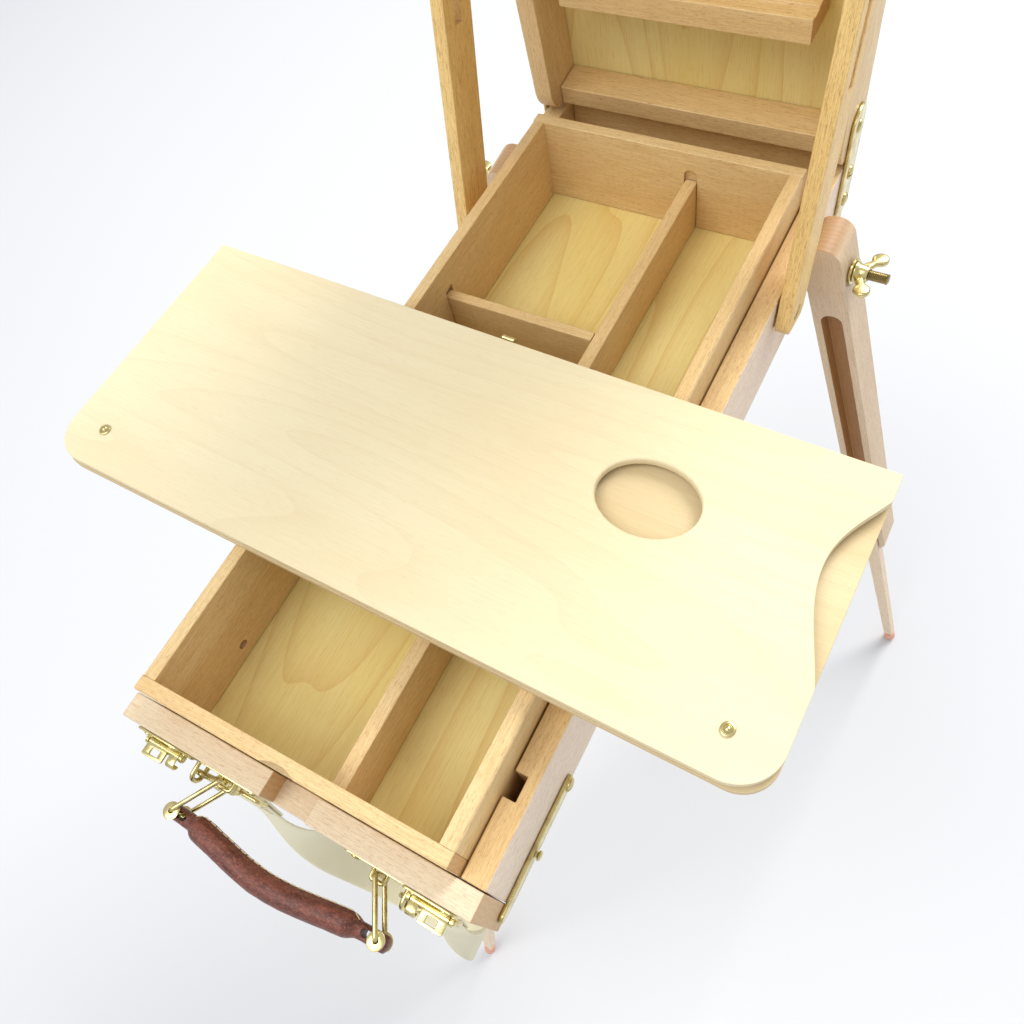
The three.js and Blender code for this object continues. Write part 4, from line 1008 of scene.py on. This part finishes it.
def catch_base(word, side):
    """A catch's screwed plate, with two knuckles and the hinge pin."""
    knuckle = [(0, 0.9), (0, 1.9), (0.2, 2.1), (1.6, 2.1), (1.8, 1.9), (1.8, 0.9)]
    pin = [(-0.6, 0), (-0.6, 0.9), (-0.2, 1.3), (0, 1.3), (0, 0.85), (23, 0.85), (23, 1.3), (23.2, 1.3),
           (23.6, 0.9), (23.6, 0)]
    seat = FACE - CATCH_THICK / 2
    low, high = sorted((side * CATCH_NEAR, side * CATCH_FAR))
    bm = bmesh.new()
    outline = rounded_box(low, high, CATCH_LOW, CATCH_HIGH, 2)
    plate(bm, [outline], CATCH_THICK, axes(X, Z, -Y, at(0, seat, 0)), 0.3)
    web = rounded_box(CATCH_Y, seat, CATCH_Z - 1.6, CATCH_Z + 1.6, 0.4)
    for x in (CATCH_NEAR + 1, CATCH_FAR - 2.8):
        lathe(bm, knuckle, at(side * x, CATCH_Y, CATCH_Z), X * side, 24, closed=True)
        plate(bm, [web], 1.7, axes(Y, Z, X, at(side * (x + 0.9), 0, 0)), 0.2)
    lathe(bm, pin, at(side * (CATCH_NEAR + 1), CATCH_Y, CATCH_Z), X * side, 20)
    for x, turn in ((CATCH_NEAR + 5, 0.9), (CATCH_FAR - 5, 0.2)):
        screw(bm, at(side * x, FACE - CATCH_THICK, -29.6), -Y, 2.2, 1.0, turn, 0.5)
    brass_piece(bm, f"catch_base_{word}", "drawer")


def catch_lever(word, side):
    """A catch's lever: a tube on the pin, a pierced tongue and a curled finger."""
    tube = [(0, 1.2), (0, 1.7), (0.2, 1.9), (18.6, 1.9), (18.8, 1.7), (18.8, 1.2)]
    finger = [(-0.8, 1.2), (-3, 1.4), (-4.9, 1.1), (-5.9, -0.3), (-5.6, -2), (-4.6, -3)]
    bm = bmesh.new()
    lathe(bm, tube, at(side * 65.1, CATCH_Y, CATCH_Z), X * side, 28, closed=True)
    tongue = rounded_box(*sorted((side * 71.6, side * 83.9)), CATCH_Y - 7, CATCH_Y - 0.6, 1.2)
    hole = rounded_box(*sorted((side * 75, side * 80)), CATCH_Y - 5.5, CATCH_Y - 2.3, 0.3)
    plate(bm, [tongue, hole], 1.3, axes(X, Y, Z, at(0, 0, CATCH_Z + 1.1)), 0.25)
    path, _ = curve_through([at(side * 67.5, CATCH_Y + y, CATCH_Z + z) for y, z in finger], 18)
    section = rounded_box(-2.35, 2.35, -0.55, 0.55, 0.3, 2)
    loft(bm, swept(path, section, lambda i, along: X))
    brass_piece(bm, f"catch_lever_{word}")


# ---------- brass on the sides and palette ----------
def hinge_plates():
    """The lid's hinge plates on the box sides, with two slotted screws and a riveted pin each."""
    low, corner, thick, gap = -62, 3, 1.8, 0.3
    front, back, top_arc = 425, 447, 12
    outline = [*arc(back - corner, low + corner, corner, corner, 270, 360, 5), (back, 2),
               *arc(HINGE_Y, 0, top_arc, top_arc, 10, 148, 18), (front, -10),
               *arc(front + corner, low + corner, corner, corner, 180, 270, 5)]
    rivet = [(-10, 0), (-10, 2.9), (0, 2.9), (0, 3.9), (0.5, 3.8), (1.1, 3.0), (1.4, 1.6), (1.5, 0)]
    face = BOX_FACE + gap + thick
    for word, side in SIDES:
        bm = bmesh.new()
        plate(bm, [outline], thick, axes(Y, Z, X, at(side * (BOX_FACE + gap + thick / 2), 0, 0)), 0.4)
        for z, turn in ((-32, 0.7), (-52, 2.2)):
            screw(bm, at(side * face, HINGE_Y + 1, z), X * side, 4, 1.8, turn)
        lathe(bm, rivet, at(side * face, HINGE_Y, 0), X * side, 28)
        brass_piece(bm, f"hinge_plate_{word}", "box")


def drawer_hook():
    """A flat hook that turns on a screw and drops over a knob to keep the drawer shut."""
    bm = bmesh.new()
    pivot_y, knob_y, height, thick, gap = 58, 24, -71, 2, 0.3
    outline = [*arc(pivot_y, 0, 4.4, 4.4, 90, -90, 10), (30, -4.0), (4, -4.4),
               *arc(-5, 0.7, 3.7, 3.7, 270, 90, 10)]
    plate(bm, [outline], thick, axes(Y, Z, X, at(BOX_FACE + gap + thick / 2, 0, height)), 0.4)
    face = BOX_FACE + gap + thick
    screw(bm, at(face, pivot_y, height), X, 3.4, 1.6, 0.5, 0.7)
    knob = [(0, 0), (0, 1.6), (0.9, 1.3), (1.4, 2.2), (2.1, 2.6), (2.8, 2.0), (3.1, 0)]
    lathe(bm, knob, at(face - 0.2, knob_y, height), X, 24)
    brass_piece(bm, "drawer_hook")


def strut_pins():
    """Countersunk slotted screws that the struts turn on."""
    shank = [(0, 0), (0, 2.4), (14, 2.4), (15, 4.5), (15.6, 4.6), (15.6, 0)]
    tip, head = STRUT_FACE - 16.8, STRUT_FACE - 1.25
    for word, side in SIDES:
        bm = bmesh.new()
        lathe(bm, shank, at(side * tip, STRUT_Y, STRUT_Z), X * side, 28)
        screw(bm, at(side * head, STRUT_Y, STRUT_Z), X * side, 4.5, 1.1, 1.0)
        brass_piece(bm, f"strut_pin_{word}", "box")


PALETTE_X, PALETTE_Y = -200, 229  # its back left corner
PALETTE_TURN = math.radians(-1.2)  # how it lies across the drawer, a little askew


def palette_point(u, v, z):
    """A point of the palette: u along its hinge edge, v towards the painter."""
    x = PALETTE_X + u * math.cos(PALETTE_TURN) + v * math.sin(PALETTE_TURN)
    y = PALETTE_Y + u * math.sin(PALETTE_TURN) - v * math.cos(PALETTE_TURN)
    return at(x, y, z)


def palette_studs():
    """Two stepped studs near the palette's front corners."""
    stud = [(-3.3, 0), (-3.3, 1.2), (0, 1.2), (0, 2.6), (0.15, 3.0), (0.45, 2.95), (0.7, 2.5),
            (0.6, 1.9), (0.9, 1.6), (1.4, 1.2), (1.7, 0.6), (1.8, 0)]
    top = 12.3
    for word, u, v in (("left", 23, 128.8), ("right", 359.5, 130.3)):
        bm = bmesh.new()
        lathe(bm, stud, palette_point(u, v, top), Z, 28)
        brass_piece(bm, f"palette_stud_{word}", "palette_leaf")


def palette_hinge():
    """The hinge between the leaves: a knuckle behind their edge, and a bent leaf below it."""
    bm = bmesh.new()
    middle, behind, height, half = 189, -2.6, 9.5, 3.5
    start = palette_point(middle - half, behind, height)
    end = palette_point(middle + half, behind, height)
    knuckle = [(0, 0), (0, 1.3), (0.3, 1.6), (2.1, 1.6), (2.3, 1.3), (2.5, 1.6), (4.5, 1.6), (4.7, 1.3),
               (4.9, 1.6), (6.7, 1.6), (7, 1.3), (7, 0)]
    lathe(bm, knuckle, start, end - start, 24)
    along = (end - start).normalized()
    leaf_half, sheet = 3.4, 0.8
    leaf = axes(along, Z.cross(along), Z, palette_point(middle, 0, 5.1))
    plate(bm, [rounded_box(-leaf_half, leaf_half, -11.8, 1.8, 0.5)], sheet, leaf, 0.15)
    riser = axes(along, Z, along.cross(Z), palette_point(middle, -1.4, 0))
    plate(bm, [rounded_box(-leaf_half, leaf_half, 4.8, 9.3, 0.3)], sheet, riser, 0.15)
    brass_piece(bm, "palette_hinge", "palette")


# ---------- bolts and nuts ----------
BOLT_THREAD = (1.0, 0.42)  # pitch and depth of the leg bolts' thread
FINE_THREAD = (1.0, 0.4)  # the same of the strut bolts and the top clamp
SMALL_NUT = 0.9  # the size of their wing nuts beside those of the leg bolts


def wing_nut(bm, base, axis, span, size=1.0):
    """A washer, a flanged hub with a bore, and two rounded wings that lean outwards."""
    axis, span = Vector(axis).normalized(), Vector(span)
    span = (span - axis * span.dot(axis)).normalized()
    washer = [(0, 3.4), (0, 7.3), (0.3, 7.6), (1.2, 7.6), (1.5, 7.3), (1.5, 3.4)]
    hub = [(1.6, 3.3), (1.6, 5.6), (2.1, 6.0), (2.9, 5.9), (3.6, 5.2), (6, 4.9), (8.7, 4.5), (9.3, 4.1),
           (9.5, 3.3)]
    for ring in (washer, hub):
        lathe(bm, [(s * size, r * size) for s, r in ring], base, axis, 36, closed=True)
    wing = [(2.6, 2.6), (6, 3.4), (8.6, 5.6), *arc(12.6, 10.6, 4.4, 4.8, -130, 150, 20), (7.6, 10.4),
            (5, 8.8), (2.6, 8.2)]
    wing = [(a * size, b * size) for a, b in wing]
    for sign in (-1, 1):
        out = span * sign
        plate(bm, [wing], 3.4 * size, axes(out, axis, out.cross(axis), base), 1.3 * size)


def leg_bolts():
    """The long bolts of the side legs, threaded where they stand out, and their wing nuts."""
    rod = rod_profile(-22.4, 33, 3)
    head = [(0, 0), (0, 5.2), (0.6, 5.6), (1.8, 5.4), (2.6, 4.6), (2.9, 3), (2.9, 0)]
    head_at, nut_at = -24.8, 12.45
    for word, _ in SIDES:
        axis = Vector(joint(f"wing_nut_{word}_slide")["axis"])
        base = Vector(joint(f"leg_{word}_fold")["pos_m"])
        bm = bmesh.new()
        lathe(bm, rod, base, axis, 24, thread=(2, 32.4, *BOLT_THREAD))
        lathe(bm, head, base + axis * head_at * MM, axis, 28)
        brass_piece(bm, f"leg_bolt_{word}", "box", DULL_BRASS)
        bm = bmesh.new()
        wing_nut(bm, base + axis * nut_at * MM, axis, Y)
        brass_piece(bm, f"wing_nut_{word}")


def front_leg_bolt():
    """The front leg's bolt: a domed head on one side and a chamfered hexagon nut on the other."""
    bm = bmesh.new()
    base = Vector(joint("leg_front_fold")["pos_m"])
    lathe(bm, rod_profile(-26.7, 31.4, 3), base, X, 24, thread=(24, 31, *BOLT_THREAD))
    head = [(0, 0), (0, 6), (0.6, 5.9), (1.8, 4.8), (2.8, 2.6), (3.1, 0)]
    lathe(bm, head, base - X * 24.05 * MM, -X, 32)
    nut = [(0, 3.0), (0, 5.4), (0.5, 6), (4.5, 6), (5, 5.4), (5, 3.0)]
    lathe(bm, nut, base + X * 24.1 * MM, X, 6, closed=True)
    brass_piece(bm, "third_leg_bolt", "box", DULL_BRASS, 20)


def knee_screws():
    """A knurled thumb screw at each knee, which clamps the lower leg in its slot."""
    leg_back, knee = 13, -327
    shank = [(-8, 0), (-8, 2), (0.2, 2), (0.2, 4.4), (1.2, 4.6), (1.6, 3.2), (2.4, 3.2)]
    head = [(2.4, 5.2), (2.9, 5.9), (6.4, 5.9), (6.9, 5.2)]
    for word, place in LEGS.items():
        bm = bmesh.new()
        seat = place @ (Vector((0, leg_back, knee)) * MM)
        away = place.to_3x3() @ Y
        lathe(bm, shank, seat, away, 28)
        lathe(bm, head, seat, away, 72, knurl=0.35)
        made(f"knee_screw_{word}", bm, BRASS, "brass", f"upper_leg_{word}", angle=35)


def strut_bolts():
    """The bolts that fix the lid to the struts' slots, with a wing nut outside each."""
    up_lid, off_pivot = 289, 9
    rod = rod_profile(-3, 20, 2.9)
    gap = 0.3
    for word, side in SIDES:
        centre = LID @ (Vector((side * BOX_FACE, up_lid, off_pivot)) * MM)
        bm = bmesh.new()
        lathe(bm, rod, centre, X * side, 24, thread=(4, 19, *FINE_THREAD))
        made(f"strut_bolt_{word}", bm, DULL_BRASS, "brass", "lid")
        bm = bmesh.new()
        seat = centre + X * side * (STRUT_FACE - BOX_FACE + gap) * MM
        wing_nut(bm, seat, X * side, LID.to_3x3() @ Y, SMALL_NUT)
        made(f"strut_nut_{word}", bm, BRASS, "brass", "lid")


def rubber_tips(skin):
    """Ribbed rubber feet below the lower legs."""
    ribs = [(0, 0), (0, 4.4), (0.5, 5.0), (1.3, 5.25), (2.2, 5.0), (2.7, 4.9), (3.4, 5.15), (4.2, 5.25)]
    cup = [(5, 4.95), (5.6, 4.9), (6.4, 5.2), (9.5, 5.3), (11.6, 5.1), (12.6, 4.5), (13, 3.6), (13, 0)]
    shank_y, gap = -9.5, 0.3
    for word, place in LEGS.items():
        lower = frame["nodes"][f"leg_lower_{word}"].data.vertices
        foot = min((place.inverted() @ v.co).z for v in lower) / MM
        start = place @ (Vector((0, shank_y, foot - gap)) * MM)
        bm = bmesh.new()
        lathe(bm, [*ribs, *cup], start, place.to_3x3() @ -Z, 32)
        made(f"leg_tip_{word}_rubber", bm, skin, "rubber", f"lower_leg_{word}", f"leg_tip_{word}")


def top_clamp(wood):
    """The clamp on the mast: a notched beech block, a threaded bolt and a wing nut."""
    low, high, back, front, wide, bolt = 474, 492, 1.2, 16.2, 40, 484
    lip_high, lip_front, bite = low + 4, front + 6, low + 1.5
    outline = [(low, back), (high, back), (high, front), (lip_high, front), (lip_high, lip_front),
               (low, lip_front), (low, lip_front - 2), (bite, lip_front - 2), (bite, front - 3),
               (low, front - 3)]
    bm = bmesh.new()
    block = axes(LID.to_3x3() @ Y, LID.to_3x3() @ Z, X, LID.translation)
    plate(bm, [outline], wide, block, 0.5)
    made("top_clamp_wood", bm, wood, "beech", "top_clamp", "top_clamp")
    bm = bmesh.new()
    away = LID.to_3x3() @ Z
    base = LID @ (Vector((0, bolt, back - 6)) * MM)
    lathe(bm, rod_profile(0, 33, 2.7), base, away, 24, thread=(18, 32.5, *FINE_THREAD))
    wing_nut(bm, LID @ (Vector((0, bolt, front + 0.2)) * MM), away, X, SMALL_NUT)
    made("top_clamp_nut", bm, BRASS, "brass", "top_clamp")


# ---------- wood ----------
def rim_edge(top, axis, face):
    """A rule that picks the edges along a board's top, where it meets one of its faces."""
    near = 0.2 * MM

    def rule(a, b):
        on_top = min(a.z, b.z) > top - near
        return on_top and max(abs(a[axis] - face), abs(b[axis] - face)) < near
    return rule


def drawer_boards(along, across):
    """The drawer's walls have a softly rounded outer rim, and its dividers only eased edges."""
    close = 0.28  # how far the sides reach into the gap before the end walls
    for word, side in SIDES:
        node = f"drawer_side_{word}"
        low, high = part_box(node)
        rule = rim_edge(high.z, 0, high.x if side > 0 else low.x)
        butts = [(1, low.y, -close), (1, high.y, close)]
        softened(node, along, 0.5, [(rule, 1.8, 4)], butts)
    for node, far in (("drawer_front_wall", 0), ("drawer_back_wall", 1)):
        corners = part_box(node)
        rule = rim_edge(corners[1].z, 1, corners[far].y)
        softened(node, across, 0.5, [(rule, 1.2, 3)])
    softened("divider_long", along, 0.6)
    softened("divider_cross", across, 0.6)


def box_boards(along, across, panel):
    """The box's sides and back, the drawer's front panel and the block that holds the front leg."""
    for word, _ in SIDES:
        softened(f"box_side_{word}", along, 0.6)
    softened("box_back", across, 0.6)
    softened("front_panel", panel, 0.8)
    softened("third_leg_block", across, 0.8)


def lid_boards(along, across):
    """The lid's sides and rails, and the mast, its guide and the canvas ledge."""
    for node in ("lid_side_left", "lid_side_right", "mast"):
        softened(node, along, 0.6)
    for node in ("lid_top_rail", "lid_bottom_rail", "canvas_ledge", "mast_guide"):
        softened(node, across, 0.6)


def leg_boards():
    """Each leg's own pale beech, with its grain along the leg."""
    for word, place in LEGS.items():
        turned = place.to_3x3()
        # the upper leg's wood has painted shade inside its slot
        upper = beech(f"leg_beech_{word}", turned @ Z, turned @ Y, *PALE, end=END, slot_shade_axes=place)
        lower = beech(f"shank_beech_{word}", turned @ Z, turned @ Y, *SHANK, end=END)
        softened(f"leg_upper_{word}", upper, 0.7)
        softened(f"leg_lower_{word}", lower, 0.5)


def thumb_rim(top):
    """A rule that picks the edges round the top of the thumb hole."""
    thumb = palette_point(290.5, 52.8, 0)

    def rule(a, b):
        far = max((p.xy - thumb.xy).length for p in (a, b))
        return min(a.z, b.z) > top - 0.1 * MM and far < 30 * MM
    return rule


def palette_leaves():
    """The two leaves; the thumb hole's rim is rounded over."""
    turned = palette_point(1, 0, 0) - palette_point(0, 0, 0)
    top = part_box("palette_upper_leaf")[1].z
    for node, base, tones, rounds in (("palette_lower_leaf", 0.4, SHADED_LOWER_LEAF, ()),
                                      ("palette_upper_leaf", 8, UPPER_LEAF, [(thumb_rim(top), 1.3, 4)])):
        ply = veneer(node + "_birch", turned, Z, *tones, lines=22.0, base=RIM + base * MM, contrast=0.1)
        softened(node, ply, 0.35, rounds)


def ply_panels():
    """The plywood floors and the lid's panel keep their plain CAD shape, with eased edges."""
    up_lid, out_lid = LID.to_3x3() @ Y, LID.to_3x3() @ Z
    for node, grain, face, base in (("drawer_floor", Y, Z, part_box("drawer_floor")[0].z),
                                    ("box_bottom", Y, Z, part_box("box_bottom")[0].z),
                                    ("lid_panel", up_lid, out_lid, 0.0)):
        ply = veneer(node + "_ply", grain, face, *PLY, lines=17.0, base=base, contrast=0.36)
        softened(node, ply, 0.3)


# ---------- studio ----------
def studio():
    """A pale floor, a white surround, a large soft light at the back and a fill at the front left."""
    reach = 6.0
    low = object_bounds()[0][2] - 0.3 * MM
    corners = [(-reach, -reach, low), (reach, -reach, low), (reach, reach, low), (-reach, reach, low)]
    mesh = bpy.data.meshes.new("floor")
    mesh.from_pydata(corners, [], [(0, 1, 2, 3)])
    mesh.materials.append(floor_paint())
    floor = bpy.data.objects.new("floor", mesh)
    bpy.context.scene.collection.objects.link(floor)

    world = bpy.data.worlds.new("surround")
    world.use_nodes = True
    sky = world.node_tree.nodes["Background"]
    sky.inputs["Color"].default_value = (0.95, 0.97, 1.0, 1)
    sky.inputs["Strength"].default_value = 0.74
    bpy.context.scene.world = world

    soft_light("window", (0.6, 2.4, 3.0), 1.7, 106, (1.0, 0.985, 0.96))
    soft_light("front_fill", (-0.6, -1.1, 2.7), 1.6, 32, (1.0, 0.99, 0.97))
    bpy.context.scene.view_settings.view_transform = "Standard"


def soft_light(name, place, size, power, color):
    """A square area light that looks at the palette."""
    light = bpy.data.lights.new(name, "AREA")
    light.shape = "SQUARE"
    light.size = size
    light.energy = power
    light.color = color
    lamp = bpy.data.objects.new(name, light)
    lamp.location = place
    lamp.rotation_euler = (at(0, 150, 0) - Vector(place)).to_track_quat("-Z", "Y").to_euler()
    bpy.context.scene.collection.objects.link(lamp)


# ---------- everything, the camera and the strap first ----------
camera()
THREAD = thread()
strap(webbing())
BRASS = brass("brass", shade(222, 208, 150), shade(168, 148, 92))
DULL_BRASS = brass("dull_brass", shade(152, 135, 87), shade(99, 84, 49), 0.28, 0.45)
grip(leather())
handle_plates()
handle_loops()
snap_hooks()
for side_word, way in SIDES:
    catch_base(side_word, way)
    catch_lever(side_word, way)
hinge_plates()
drawer_hook()
strut_pins()
palette_studs()
palette_hinge()
leg_bolts()
front_leg_bolt()
knee_screws()
strut_bolts()
rubber_tips(rubber())

SIDE_BEECH = beech("beech_along", Y, X, *WARM, end=WARM_END)
CROSS_BEECH = beech("beech_across", X, Y, *WARM, end=WARM_END)
STRUT_BEECH = beech("beech_strut", STRUT.to_3x3() @ Z, X, *GOLDEN, end=WARM_END)
LID_BEECH = beech("beech_lid", LID.to_3x3() @ Y, X, *WARM, end=WARM_END)
BOX_BEECH = beech("beech_box", Y, X, *WARM, end=WARM_END, side_light=SIDE_LIGHT_TONES)
PANEL_BEECH = beech("beech_panel", X, Y, *PANEL, end=WARM_END)
drawer_boards(SIDE_BEECH, CROSS_BEECH)
box_boards(BOX_BEECH, CROSS_BEECH, PANEL_BEECH)
lid_boards(LID_BEECH, CROSS_BEECH)
for side_word, _ in SIDES:
    softened(f"strut_{side_word}", STRUT_BEECH, 0.7)
leg_boards()
palette_leaves()
ply_panels()
top_clamp(CROSS_BEECH)
studio()
